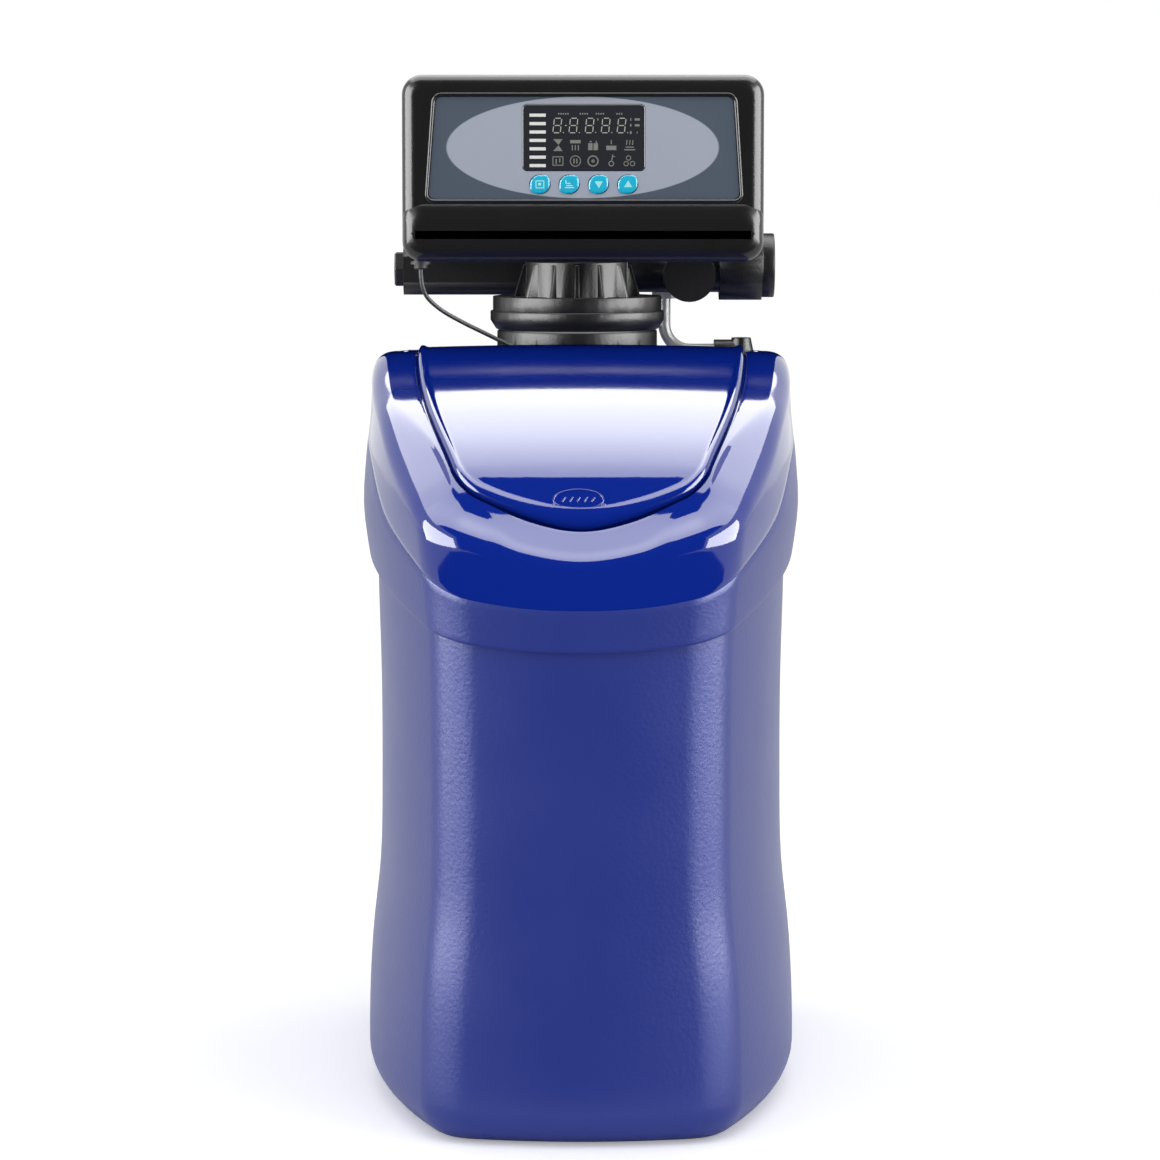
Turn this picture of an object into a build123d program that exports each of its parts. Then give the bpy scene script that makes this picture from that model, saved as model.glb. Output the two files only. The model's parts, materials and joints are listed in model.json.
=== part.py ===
from build123d import *
import math
import os

# A compact cabinet water softener, in millimetres.
# X is to the right, Y to the back and Z up. The origin is on the floor under the
# middle of the whole object. A blue brine cabinet with a glossy cover and a salt lid
# holds a resin vessel, and the control valve stands on the vessel's neck.

os.makedirs("parts", exist_ok=True)

# Cabinet outline
cabinet_half_width = 108.7
cabinet_front = 182.0
cabinet_back = 167.0
front_bow_radius = 230.0
front_corner_radius = 32.0
side_bow_radius = 400.0
rear_corner_radius = 45.0
cabinet_wall = 3.0
overrun = 30.0
floor_top = 6.0

# Cabinet heights
cover_top = 365.0
foot_recess = 2.0
foot_recess_inset = 26.0
base_edge_radius = 19.0

# Sections of the tub: share of the cover's top height, share of the half width,
# share of the front reach
tub_shares = (
    (0.0, 0.985, 0.984),
    (0.10, 0.985, 0.984),
    (0.20, 0.968, 0.978),
    (0.31, 0.930, 0.966),
    (0.43, 0.922, 0.962),
    (0.56, 0.923, 0.962),
    (0.69, 0.934, 0.968),
    (0.82, 0.940, 0.972),
    (0.90, 0.941, 0.9725),
    (0.98, 0.942, 0.973),
    (1.05, 0.942, 0.973),
)
# Sections of the flared collar and the cover, in the same shares
flare_shares = (
    (0.55, 0.936, 0.973),
    (0.62, 0.941, 0.977),
    (0.70, 0.962, 0.987),
    (0.79, 1.0, 1.0),
    (0.86, 0.988, 0.996),
    (0.93, 0.964, 0.985),
    (1.03, 0.962, 0.982),
)

# Collar line and cover seam, seen from the side: share of the front reach, share of
# the cover's top height
collar_line_shares = (
    (-1.10, 0.630),
    (-1.0, 0.636),
    (-0.907, 0.657),
    (-0.621, 0.689),
    (-0.055, 0.731),
    (0.92, 0.781),
    (1.10, 0.785),
)
seam_shares = (
    (-1.10, 0.680),
    (-1.0, 0.692),
    (-0.945, 0.712),
    (-0.868, 0.737),
    (-0.621, 0.792),
    (-0.357, 0.858),
    (-0.027, 0.893),
    (0.330, 0.932),
    (0.92, 0.948),
    (1.10, 0.949),
)
# How much of the front's lean the back follows
back_lean_share = 0.3
seam_gap = 0.4
lip_wall = 1.6
lip_depth = 6.0
fit_gap = 0.3

# Salt lid
lid_rear = 13.0
lid_front = 162.0
lid_top = 367.0
lid_drop = 77.0
lid_half_width = 82.0
lid_wall = 2.6
lid_proud = 2.0
lid_side_radius = 560.0
lid_corner_radius = 20.0
lid_bow_radius = 150.0
lid_gap = 1.0
lid_bead_width = 4.6
lid_bead_rise = 1.0
# Points of the lid's top from rear to front: share of its length, share of its drop
lid_profile_shares = (
    (0.0, 0.0),
    (0.343, 0.182),
    (0.686, 0.429),
    (0.886, 0.636),
    (0.960, 0.818),
    (1.0, 1.0),
)
seat_width = 8.0
seat_wall = 2.4
nose_reach = 22.0
nose_fall = 17.0
nose_lean_share = 0.25

# Deck behind the lid
deck_top = 353.0
deck_half_width = 92.0
deck_front = 8.0
deck_back = 156.0
deck_corner_radius = 14.0

# Lid hinge
hinge_y = 17.0
hinge_z = 358.0
hinge_x = 60.0
hinge_pin_radius = 1.6
hinge_knuckle_radius = 3.6
hinge_knuckle_width = 12.0
hinge_ear_width = 3.0
running_gap = 0.08

# Deck elbow and its seal
elbow_x = 84.5
elbow_y = 104.0
elbow_z = 360.0
elbow_radius = 6.4
elbow_port_length = 8.0
elbow_stem_radius = 4.0
elbow_stem_length = 16.0
seal_wall = 2.0
seal_lip = 1.5

# Overflow through the tub's back
overflow_x = -54.0
overflow_height_share = 0.63
overflow_wall_share = 0.9898
overflow_thread_radius = 8.0
overflow_barb_radius = 6.5
overflow_bore_radius = 4.5
overflow_flange_radius = 11.0
overflow_flange = 2.6
overflow_nut_radius = 12.0
overflow_nut_length = 5.0

# Brine well, its valve and float
well_x = 53.5
well_y = -67.0
well_radius = 28.0
well_wall = 2.0
well_height = 312.0
well_slot_width = 3.0
well_slot_height = 26.0
well_cap_wall = 2.0
well_cap_skirt = 9.0
well_port_z = 290.0
valve_block_height = 28.0
valve_block_width = 40.0
valve_block_depth = 18.0
air_tube_radius = 6.0
air_tube_shift = 13.0
air_tube_foot = 24.0
float_rod_radius = 1.6
float_rod_foot = 60.0
float_radius = 11.5
float_height = 46.0
float_z = 150.0
float_travel = 15.0
float_shift = 11.0

# Salt grid
grid_top = 38.0
grid_wall = 4.0
grid_leg_radius = 5.0
grid_hole_radius = 3.0
grid_pitch = 12.0
grid_columns = 8
grid_rows = 8
grid_centre_x = -24.0
grid_centre_y = -104.0
grid_rear = 34.0

# Resin vessel
vessel_radius = 88.0
vessel_wall = 4.0
vessel_bottom = 12.0
vessel_dome = 38.0
vessel_shoulder = 285.0
boss_radius = 40.0
boss_bore_radius = 31.0
boss_foot = 328.0
boss_top = 352.0
foot_ring_outer = 68.0
foot_ring_inner = 50.0
foot_ring_top = 34.0
resin_level = 215.0
riser_radius = 13.3
riser_wall = 2.2
riser_top = 384.0
strainer_radius = 24.0
strainer_height = 34.0
strainer_socket = 20.0
slot_width = 1.6
slot_count = 12
upper_strainer_radius = 22.0
upper_strainer_foot = 344.0
upper_strainer_top = 372.0

# Neck rings
lower_ring_radius = 41.5
lower_ring_top = 372.5
lower_ring_groove = 2.2
lower_ring_grooves = 18
upper_ring_radius = 45.0
upper_ring_waist = 42.0
upper_ring_top = 382.0
neck_flange_radius = 43.7
neck_flange_top = 389.4
spigot_radius = 30.7
spigot_foot = 334.0
spigot_bore_radius = 24.0
seal_cord_radius = 1.5
seal_z = 346.0

# Control valve body
drive_x = 0.0
drive_z = 454.0
hub_radius = 27.0
hub_top = 407.0
tower_half_width = 26.0
tower_front = 66.0
tower_back = 102.0
chamber_radius = 42.0
chamber_bore_radius = 33.0
chamber_front = 64.0
chamber_floor = 104.0
chamber_back = 112.0
riser_seat_radius = 17.0
riser_seat_foot = 366.0
passage_radius = 5.5
arm_y = 84.0
arm_z = 405.0
arm_radius = 14.0
arm_bore_radius = 11.0
arm_start = 20.0
port_start = 72.0
port_end = 94.0
port_radius = 18.0
boss_x = 56.0
boss_z = 400.0
round_boss_radius = 13.4
round_boss_front = 62.0
bar_end = -92.0
bar_start = -20.0
bar_foot = 390.0
bar_top = 416.0
bar_front = 68.0
bar_back = 98.0
bar_bore_radius = 6.0
brine_x = 44.0
brine_boss_width = 15.0
brine_boss_foot = 397.0
brine_boss_top = 413.0
inlet_x = -8.0
inlet_z = 405.0
inlet_boss_radius = 17.6
inlet_boss_back = 120.0
drain_x = -62.0
drain_z = 402.0

# Fittings on the valve
thread_radius = 16.6
outlet_end = 100.5
tail_length = 16.0
tail_bore_radius = 12.0
injector_cap_radius = 10.0
injector_cap_end = -97.0
injector_length = 24.0
injector_throat_radius = 1.6
drain_nut_radius = 9.5
drain_nut_length = 9.0
drain_barb_radius = 5.0
drain_barb_length = 18.0
drain_bore_radius = 3.0
barb_rise = 0.8
barb_count = 3
brine_nut_radius = 6.6
brine_nut_length = 10.0
probe_radius = 4.5
probe_length = 13.0
probe_boss_top = 421.0
turbine_x = 52.0
turbine_radius = 9.4
turbine_length = 12.0
turbine_hub_radius = 3.0
turbine_blade = 1.2
turbine_blades = 6
turbine_shaft_radius = 1.0
turbine_shaft_reach = 10.5
cage_wall = 0.8
cage_reach = 12.0
cage_spider = 2.5
cage_spokes = 3

# Discs, rotor and bonnet
disc_wall = 7.0
fixed_disc_radius = 31.5
moving_disc_radius = 28.0
disc_port_radius = 4.5
disc_port_ring = 18.0
disc_ports = 5
rotor_flange = 6.0
rotor_shaft_radius = 6.0
bonnet_front = 57.0
bonnet_screws_count = 6
bonnet_screw_ring = 37.5
bonnet_screw_radius = 1.8
bonnet_head_radius = 3.2
bonnet_head = 2.4
bonnet_screw_length = 14.0

# Gear train
gear_module = 1.25
main_teeth = 60
idler_teeth = 24
pinion_teeth = 12
gear_front = 31.0
gear_width = 8.0
addendum_share = 0.75
dedendum_share = 1.1
tooth_root_share = 0.62
tooth_tip_share = 0.26
idler_axle_radius = 2.0
motor_shaft_radius = 1.5
motor_gap = 1.0
motor_post_shift = 19.2
pinion_angle = -52.5
motor_radius = 17.0
motor_ear_reach = 21.0
motor_ear_wall = 1.2
motor_ear_half_width = 4.0
web_depth = 2.2
web_inner_radius = 12.0
web_outer_radius = 32.0

# Control box
box_x = 1.0
box_half_width = 90.5
box_foot = 409.0
box_top = 502.0
box_corner = 10.0
box_face = -3.0
box_split = 28.0
box_wall = 2.5
box_edge_radius = 2.4
gasket = 0.8
chin_face = -6.0
chin_half_width = 87.0
chin_foot = 411.0
chin_top = 437.0
chin_edge_radius = 2.6
panel_recess = 1.6
panel_sheet = 0.5
panel_foot = 440.0
panel_head = 491.3
panel_foot_left = -76.5
panel_foot_right = 79.5
panel_head_left = -72.5
panel_head_right = 76.0
display_x = 1.4
display_z = 470.8
display_half_width = 30.6
display_half_height = 16.5
display_corner = 2.6
panel_corner = 3.0
panel_inset = 0.3
window_proud = 0.8
window_flange = 1.0
window_lip = 0.9
board_face = 12.0
board_wall = 1.6
board_half_width = 74.0
board_half_height = 34.0
board_post_x = 69.0
board_post_z = 29.0
board_post_radius = 3.2
board_screw_radius = 1.3
board_head_radius = 2.6
board_head = 1.8
screw_x = 81.0
screw_z = 38.0
screw_post_radius = 4.2
screw_radius = 1.6
screw_head_radius = 3.2
screw_head = 2.2
screw_bite = 14.0

# Keys
key_pitch = 14.6
key_z = 447.6
key_half_width = 5.1
key_half_height = 4.7
key_proud = 1.9
key_gap = 0.2
key_flange_radius = 5.5
key_flange = 1.0
key_stem_radius = 2.0
key_travel = 0.8
key_steps = (-1.5, -0.5, 0.5, 1.5)
key_names = ("key_menu", "key_set", "key_down", "key_up")
switch_face = 9.0
switch_half_width = 3.0
key_stem_end = switch_face - key_travel - key_gap

# Lead, its bush and connector
lead_radius = 1.1
bush_x = -80.5
bush_y = 8.0
bush_radius = 3.4
bush_foot = 405.0
bush_flange_radius = 5.0
bush_flange = 1.4
connector_radius = 4.4
connector_length = 28.0
connector_neck_radius = 2.6
connector_neck_length = 8.0
connector_bore_radius = 2.0
connector_bore_length = 9.0

# Brine tubes
tube_radius = 3.175
tube_wall = 0.8
drop_z = 322.0
elbow_crown_taper = 12.0
arc_share = 0.45

# Vessel axis and neck
vessel_x = -2.0
vessel_y = 73.0
deck_hole_radius = 44.5


def finish(piece, name):
    """Label a piece, write it and report its volume."""
    piece.part.label = name
    export_step(piece.part, "parts/" + name + ".step")
    print(name, len(piece.part.solids()), round(piece.part.volume), piece.part.is_valid)


def plan_outline(half_width, front, back, corner):
    """A closed plan with a bowed front, bowed sides and a square back."""
    bow_y = front_bow_radius - front
    side_x = half_width - side_bow_radius
    bow_reach = front_bow_radius - corner
    side_reach = side_bow_radius - corner
    spread = math.hypot(side_x, bow_y)
    along = (spread**2 + bow_reach**2 - side_reach**2) / (2 * spread)
    across = math.sqrt(bow_reach**2 - along**2)
    ux = side_x / spread
    uy = -bow_y / spread
    corner_x = along * ux - across * uy
    corner_y = bow_y + along * uy + across * ux
    bow_end = math.atan2(corner_y - bow_y, corner_x)
    side_start = math.atan2(corner_y, corner_x - side_x)

    def on_arc(centre_x, centre_y, radius, angle):
        return (centre_x + radius * math.cos(angle), centre_y + radius * math.sin(angle))

    straight_down = -math.pi / 2
    rear_corner = rear_corner_radius - (cabinet_half_width - half_width)
    rear_corner = max(rear_corner, corner)
    with BuildSketch() as plan:
        with BuildLine():
            ThreePointArc(
                (0, -front),
                on_arc(0, bow_y, front_bow_radius, (straight_down + bow_end) / 2),
                on_arc(0, bow_y, front_bow_radius, bow_end),
            )
            ThreePointArc(
                on_arc(corner_x, corner_y, corner, bow_end),
                on_arc(corner_x, corner_y, corner, (bow_end + side_start) / 2),
                on_arc(corner_x, corner_y, corner, side_start),
            )
            ThreePointArc(
                on_arc(side_x, 0, side_bow_radius, side_start),
                on_arc(side_x, 0, side_bow_radius, side_start / 2),
                (half_width, 0),
            )
            Line((half_width, 0), (half_width, back - rear_corner))
            ThreePointArc(
                (half_width, back - rear_corner),
                on_arc(half_width - rear_corner, back - rear_corner, rear_corner, math.pi / 4),
                (half_width - rear_corner, back),
            )
            Line((half_width - rear_corner, back), (0, back))
            mirror(about=Plane.YZ)
        make_face()
    return plan.sketch


def cabinet_loft(shares, inset):
    """A solid through cabinet plans, each drawn in by the inset."""
    with BuildPart() as body:
        for height_share, width_share, front_share in shares:
            with BuildSketch(Plane.XY.offset(cover_top * height_share)):
                add(
                    plan_outline(
                        cabinet_half_width * width_share - inset,
                        cabinet_front * front_share - inset,
                        cabinet_back * (1 - back_lean_share * (1 - front_share)) - inset,
                        front_corner_radius - inset,
                    )
                )
        loft()
    return body.part


def side_points(shares):
    return [(cabinet_front * reach, cover_top * height) for reach, height in shares]


def across(side_sketch):
    """The solid that a side view sweeps from left to right, wider than the cabinet."""
    reach = cabinet_half_width + overrun
    with BuildPart() as bar:
        with BuildSketch(Plane.YZ.offset(-reach)):
            add(side_sketch)
        extrude(amount=2 * reach)
    return bar.part


def side_region(points, limit_height, shift=0.0):
    """Everything between a line seen from the side and a height."""
    moved = [(y, z + shift) for y, z in points]
    with BuildSketch() as side:
        with BuildLine():
            Spline(*moved)
            Polyline(
                moved[-1],
                (moved[-1][0], limit_height),
                (moved[0][0], limit_height),
                moved[0],
            )
        make_face()
    return across(side.sketch)


seam_line = side_points(seam_shares)
collar_line = side_points(collar_line_shares)
sky = cover_top + overrun
ground = -overrun

lid_length = lid_rear + lid_front
lid_line = [
    (lid_rear - lid_length * along, lid_top - lid_drop * down)
    for along, down in lid_profile_shares
]


def lid_plan(inset):
    """The lid's U in plan, with its open side at the rear, drawn in by the inset."""
    half_width = lid_half_width - inset
    front = lid_front - inset
    corner = lid_corner_radius
    side_reach = lid_side_radius - corner
    bow_reach = lid_bow_radius - corner
    side_x = half_width - lid_side_radius
    bow_y = lid_bow_radius - front
    rise = bow_y - lid_rear
    spread = math.hypot(side_x, rise)
    along = (spread**2 + bow_reach**2 - side_reach**2) / (2 * spread)
    across = math.sqrt(bow_reach**2 - along**2)
    ux = side_x / spread
    uy = -rise / spread
    corner_x = along * ux - across * uy
    corner_y = bow_y + along * uy + across * ux
    bow_end = math.atan2(corner_y - bow_y, corner_x)
    side_start = math.atan2(corner_y - lid_rear, corner_x - side_x)

    def on_arc(centre_x, centre_y, radius, angle):
        return (centre_x + radius * math.cos(angle), centre_y + radius * math.sin(angle))

    with BuildSketch() as plan:
        with BuildLine():
            ThreePointArc(
                (0, -front),
                on_arc(0, bow_y, lid_bow_radius, (bow_end - math.pi / 2) / 2),
                on_arc(0, bow_y, lid_bow_radius, bow_end),
            )
            ThreePointArc(
                on_arc(corner_x, corner_y, corner, bow_end),
                on_arc(corner_x, corner_y, corner, (bow_end + side_start) / 2),
                on_arc(corner_x, corner_y, corner, side_start),
            )
            ThreePointArc(
                on_arc(side_x, lid_rear, lid_side_radius, side_start),
                on_arc(side_x, lid_rear, lid_side_radius, side_start / 2),
                (half_width, lid_rear),
            )
            Line((half_width, lid_rear), (0, lid_rear))
            mirror(about=Plane.YZ)
        make_face()
    return plan.sketch


def under_lid_line(drop):
    """Everything under the lid's top line, moved in and down by the drop."""
    moved = [(y + drop, z - drop) for y, z in lid_line]
    depth = lid_top - lid_drop - overrun
    with BuildSketch() as side:
        with BuildLine():
            Spline(*moved, tangents=((-1, 0), (-nose_lean_share, -1)))
            Polyline(
                moved[-1],
                (moved[-1][0], depth),
                (moved[0][0] + overrun, depth),
                (moved[0][0] + overrun, moved[0][1]),
                moved[0],
            )
        make_face()
    return across(side.sketch)


def cover_region(inset):
    """Everything under the cover's top, seen from the side, drawn in by the inset."""
    drop = lid_proud + inset
    moved = [(y + drop, z - drop) for y, z in lid_line]
    valley_y, valley_z = moved[-1]
    end_y = -cabinet_front - overrun
    with BuildSketch() as side:
        with BuildLine():
            Spline(*moved, tangents=((-1, 0), (-nose_lean_share, -1)))
            Spline(
                (valley_y, valley_z),
                (valley_y - nose_reach, valley_z - nose_fall),
                tangents=((-1, 0), (-nose_lean_share, -1)),
            )
            Polyline(
                (valley_y - nose_reach, valley_z - nose_fall),
                (end_y, valley_z - nose_fall),
                (end_y, ground),
                (cabinet_back + overrun, ground),
                (cabinet_back + overrun, moved[0][1]),
                moved[0],
            )
        make_face()
    return across(side.sketch)


def lid_prism(inset, rear_reach=0.0):
    """The lid's plan as a tall column, carried back behind the lid by the rear reach."""
    with BuildPart() as column:
        with BuildSketch():
            add(lid_plan(inset))
            if rear_reach:
                with Locations((0, lid_rear + rear_reach / 2)):
                    Rectangle(2 * (lid_half_width - inset), rear_reach)
        extrude(amount=sky)
    return column.part


# Cabinet body: one blow-moulded tub with a flared collar under the cover
overflow_z = cover_top * overflow_height_share
with BuildPart() as cabinet_body:
    add(cabinet_loft(tub_shares, 0))
    base_edges = cabinet_body.faces().sort_by(Axis.Z)[0].edges()
    fillet(base_edges, radius=base_edge_radius)
    with BuildPart(mode=Mode.PRIVATE) as collar:
        add(cabinet_loft(flare_shares, 0))
        add(side_region(collar_line, sky), mode=Mode.INTERSECT)
    add(collar.part)
    with BuildPart(mode=Mode.PRIVATE) as hollow:
        add(cabinet_loft(tub_shares, cabinet_wall))
        with BuildSketch(Plane.XY.offset(-overrun)):
            Rectangle(2 * (cabinet_half_width + overrun), 2 * (cabinet_front + overrun))
        extrude(amount=overrun + floor_top, mode=Mode.SUBTRACT)
        bottom_edges = hollow.faces().sort_by(Axis.Z)[0].edges()
        fillet(bottom_edges, radius=base_edge_radius - cabinet_wall)
    add(hollow.part, mode=Mode.SUBTRACT)
    add(side_region(seam_line, sky), mode=Mode.SUBTRACT)
    with BuildSketch():
        add(
            plan_outline(
                cabinet_half_width - foot_recess_inset,
                cabinet_front - foot_recess_inset,
                cabinet_back - foot_recess_inset,
                front_corner_radius - foot_recess,
            )
        )
    extrude(amount=foot_recess, mode=Mode.SUBTRACT)
    with BuildSketch(Plane.XZ.offset(-cabinet_back - overrun)):
        with Locations((overflow_x, overflow_z)):
            Circle(overflow_thread_radius + fit_gap)
    extrude(amount=2 * overrun, mode=Mode.SUBTRACT)
finish(cabinet_body, "cabinet_body")

# Cabinet cover: a moulded shell that sits on the collar, with a seat for the lid, a
# sunk deck round the neck and a lip that drops inside the tub
with BuildPart() as cabinet_cover:
    add(cabinet_loft(flare_shares, 0))
    add(cover_region(0), mode=Mode.INTERSECT)
    with BuildPart(mode=Mode.PRIVATE) as cover_hollow:
        add(cabinet_loft(flare_shares, cabinet_wall))
        add(cover_region(cabinet_wall), mode=Mode.INTERSECT)
    add(cover_hollow.part, mode=Mode.SUBTRACT)
    add(side_region(seam_line, ground, seam_gap), mode=Mode.SUBTRACT)
    with BuildPart(mode=Mode.PRIVATE) as lip:
        lip_inset = cabinet_wall + fit_gap
        add(cabinet_loft(tub_shares, lip_inset))
        add(cabinet_loft(tub_shares, lip_inset + lip_wall), mode=Mode.SUBTRACT)
        add(side_region(seam_line, ground, -lip_depth), mode=Mode.SUBTRACT)
        add(side_region(seam_line, sky, lip_depth), mode=Mode.SUBTRACT)
    add(lip.part)
    with BuildPart(mode=Mode.PRIVATE) as lip_bridge:
        add(cabinet_loft(flare_shares, cabinet_wall / 2))
        add(cabinet_loft(tub_shares, lip_inset + lip_wall), mode=Mode.SUBTRACT)
        add(side_region(seam_line, ground, seam_gap), mode=Mode.SUBTRACT)
        add(side_region(seam_line, sky, seam_gap + lip_wall), mode=Mode.SUBTRACT)
    add(lip_bridge.part)
    deck_depth = deck_back - deck_front
    deck_middle = (deck_front + deck_back) / 2
    with BuildSketch(Plane.XY.offset(deck_top - cabinet_wall)):
        with Locations((0, deck_middle)):
            tray_corner = deck_corner_radius + cabinet_wall
            RectangleRounded(
                2 * (deck_half_width + cabinet_wall), deck_depth + 2 * cabinet_wall, tray_corner
            )
    extrude(amount=cover_top - lid_proud - deck_top)
    with BuildPart(mode=Mode.PRIVATE) as seat_skin:
        add(lid_prism(-lid_gap - seat_wall))
        add(under_lid_line(lid_wall + fit_gap), mode=Mode.INTERSECT)
        add(under_lid_line(lid_wall + fit_gap + seat_wall), mode=Mode.SUBTRACT)
    add(seat_skin.part)
    with BuildPart(mode=Mode.PRIVATE) as seat_cut:
        add(lid_prism(-lid_gap, lid_gap))
        add(under_lid_line(lid_wall + fit_gap), mode=Mode.SUBTRACT)
    add(seat_cut.part, mode=Mode.SUBTRACT)
    with BuildPart(mode=Mode.PRIVATE) as mouth:
        add(lid_prism(seat_width))
        with BuildSketch():
            with Locations((0, deck_front)):
                Rectangle(2 * cabinet_half_width, 2 * (cabinet_wall + lid_gap))
        extrude(amount=sky, mode=Mode.SUBTRACT)
    add(mouth.part, mode=Mode.SUBTRACT)
    with BuildSketch(Plane.XY.offset(deck_top)):
        with Locations((0, deck_middle)):
            RectangleRounded(2 * deck_half_width, deck_depth, deck_corner_radius)
    extrude(amount=sky, mode=Mode.SUBTRACT)
    with BuildSketch():
        with Locations((vessel_x, vessel_y)):
            Circle(deck_hole_radius)
        with Locations((elbow_x, elbow_y)):
            Circle(elbow_stem_radius + seal_wall)
    extrude(amount=sky, mode=Mode.SUBTRACT)
    ear_shift = hinge_knuckle_width / 2 + fit_gap + hinge_ear_width / 2
    for x in (-hinge_x, hinge_x):
        for side in (-1, 1):
            ear_start = x + side * ear_shift - hinge_ear_width / 2
            with BuildSketch(Plane.YZ.offset(ear_start)):
                with Locations((hinge_y, hinge_z)):
                    Circle(hinge_knuckle_radius)
                with Locations((hinge_y, (deck_top + hinge_z) / 2)):
                    Rectangle(2 * hinge_knuckle_radius, hinge_z - deck_top)
                with Locations((hinge_y, hinge_z)):
                    Circle(hinge_pin_radius + running_gap, mode=Mode.SUBTRACT)
            extrude(amount=hinge_ear_width)
finish(cabinet_cover, "cabinet_cover")

# Salt lid: a moulded flap with a raised bead round its U, a rolled-down front and two
# hinge knuckles under its rear edge
hinge_places = (-hinge_x, hinge_x)
with BuildPart() as salt_lid:
    add(lid_prism(0))
    add(under_lid_line(0), mode=Mode.INTERSECT)
    add(under_lid_line(lid_wall), mode=Mode.SUBTRACT)
    with BuildPart(mode=Mode.PRIVATE) as bead:
        add(lid_prism(0))
        add(lid_prism(lid_bead_width, lid_gap), mode=Mode.SUBTRACT)
        add(under_lid_line(-lid_bead_rise), mode=Mode.INTERSECT)
        add(under_lid_line(lid_wall / 2), mode=Mode.SUBTRACT)
    add(bead.part)
    for x in hinge_places:
        with BuildSketch(Plane.YZ.offset(x - hinge_knuckle_width / 2)):
            with Locations((hinge_y, hinge_z)):
                Circle(hinge_knuckle_radius)
            with BuildLine():
                Polyline(
                    (lid_rear, lid_top - lid_wall / 2),
                    (lid_rear - hinge_knuckle_radius, lid_top - lid_wall),
                    (hinge_y - hinge_knuckle_radius, hinge_z),
                    (hinge_y, hinge_z),
                    (hinge_y, hinge_z + hinge_knuckle_radius),
                    close=True,
                )
            make_face()
            with Locations((hinge_y, hinge_z)):
                Circle(hinge_pin_radius + running_gap, mode=Mode.SUBTRACT)
        extrude(amount=hinge_knuckle_width)
finish(salt_lid, "salt_lid")

# Hinge pins: two plain rods pressed through the cover's ears
with BuildPart() as hinge_pins:
    pin_length = hinge_knuckle_width + 2 * (hinge_ear_width + fit_gap)
    for x in hinge_places:
        with BuildSketch(Plane.YZ.offset(x - pin_length / 2)):
            with Locations((hinge_y, hinge_z)):
                Circle(hinge_pin_radius)
        extrude(amount=pin_length)
finish(hinge_pins, "lid_hinge_pins")


def wall_plane(y):
    """An upright plane that faces the front, so its extrusions run forwards."""
    return Plane.XZ.offset(-y)


def hexagon(radius):
    return RegularPolygon(radius, side_count=6)


vessel_axis = Axis((vessel_x, vessel_y, 0), (0, 0, 1))
vessel_plane = Plane(origin=(vessel_x, vessel_y, 0), x_dir=(1, 0, 0), z_dir=(0, -1, 0))


def tall_ring(x, y, foot, top, outer, bore=0.0):
    """An upright tube or rod between two heights."""
    with BuildPart() as ring:
        with BuildSketch(Plane.XY.offset(foot)):
            with Locations((x, y)):
                Circle(outer)
                if bore:
                    Circle(bore, mode=Mode.SUBTRACT)
        extrude(amount=top - foot)
    return ring.part


# Overflow: a flanged barb through the tub's back, held by a nut outside
tub_back = cabinet_back * overflow_wall_share
with BuildPart() as overflow_spigot:
    with BuildSketch(wall_plane(tub_back - cabinet_wall - fit_gap)):
        with Locations((overflow_x, overflow_z)):
            Circle(overflow_flange_radius)
    extrude(amount=overflow_flange)
    with BuildSketch(wall_plane(tub_back + overflow_nut_length + fit_gap)):
        with Locations((overflow_x, overflow_z)):
            Circle(overflow_thread_radius)
    extrude(amount=overflow_nut_length + cabinet_wall + 2 * fit_gap)
    with BuildSketch(wall_plane(cabinet_front)):
        with Locations((overflow_x, overflow_z)):
            Circle(overflow_barb_radius)
    extrude(amount=cabinet_front - tub_back - overflow_nut_length)
    with BuildSketch(wall_plane(cabinet_front)):
        with Locations((overflow_x, overflow_z)):
            Circle(overflow_bore_radius)
    extrude(amount=overrun, mode=Mode.SUBTRACT)
finish(overflow_spigot, "overflow_spigot")

with BuildPart() as overflow_nut:
    with BuildSketch(wall_plane(tub_back + overflow_nut_length + fit_gap)):
        with Locations((overflow_x, overflow_z)):
            hexagon(overflow_nut_radius)
            Circle(overflow_thread_radius + running_gap, mode=Mode.SUBTRACT)
    extrude(amount=overflow_nut_length)
finish(overflow_nut, "overflow_nut")

# Salt grid: a perforated plate on four feet that keeps the salt off the floor
grid_half_width = cabinet_half_width * tub_shares[0][1] - cabinet_wall - grid_wall
grid_front = cabinet_front * tub_shares[0][2] - cabinet_wall - grid_wall
with BuildPart() as salt_grid:
    with BuildSketch(Plane.XY.offset(grid_top - grid_wall)):
        add(
            plan_outline(
                grid_half_width,
                grid_front,
                cabinet_back - cabinet_wall - grid_wall,
                front_corner_radius - cabinet_wall - grid_wall,
            )
        )
        with Locations((0, vessel_y)):
            rear_depth = 2 * (vessel_y + grid_rear)
            Rectangle(2 * cabinet_half_width, rear_depth, mode=Mode.SUBTRACT)
        with Locations((vessel_x, vessel_y)):
            Circle(vessel_radius + grid_wall, mode=Mode.SUBTRACT)
        with Locations((well_x, well_y)):
            Circle(well_radius + well_wall, mode=Mode.SUBTRACT)
        with Locations((grid_centre_x, grid_centre_y)):
            with GridLocations(grid_pitch, grid_pitch, grid_columns, grid_rows):
                Circle(grid_hole_radius, mode=Mode.SUBTRACT)
    extrude(amount=grid_wall)
    with BuildSketch(Plane.XY.offset(floor_top)):
        with Locations((grid_centre_x, grid_centre_y)):
            with GridLocations(grid_pitch * (grid_columns - 3), grid_pitch * (grid_rows - 3), 2, 2):
                Circle(grid_leg_radius)
    extrude(amount=grid_top - grid_wall - floor_top)
finish(salt_grid, "salt_grid")

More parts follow.
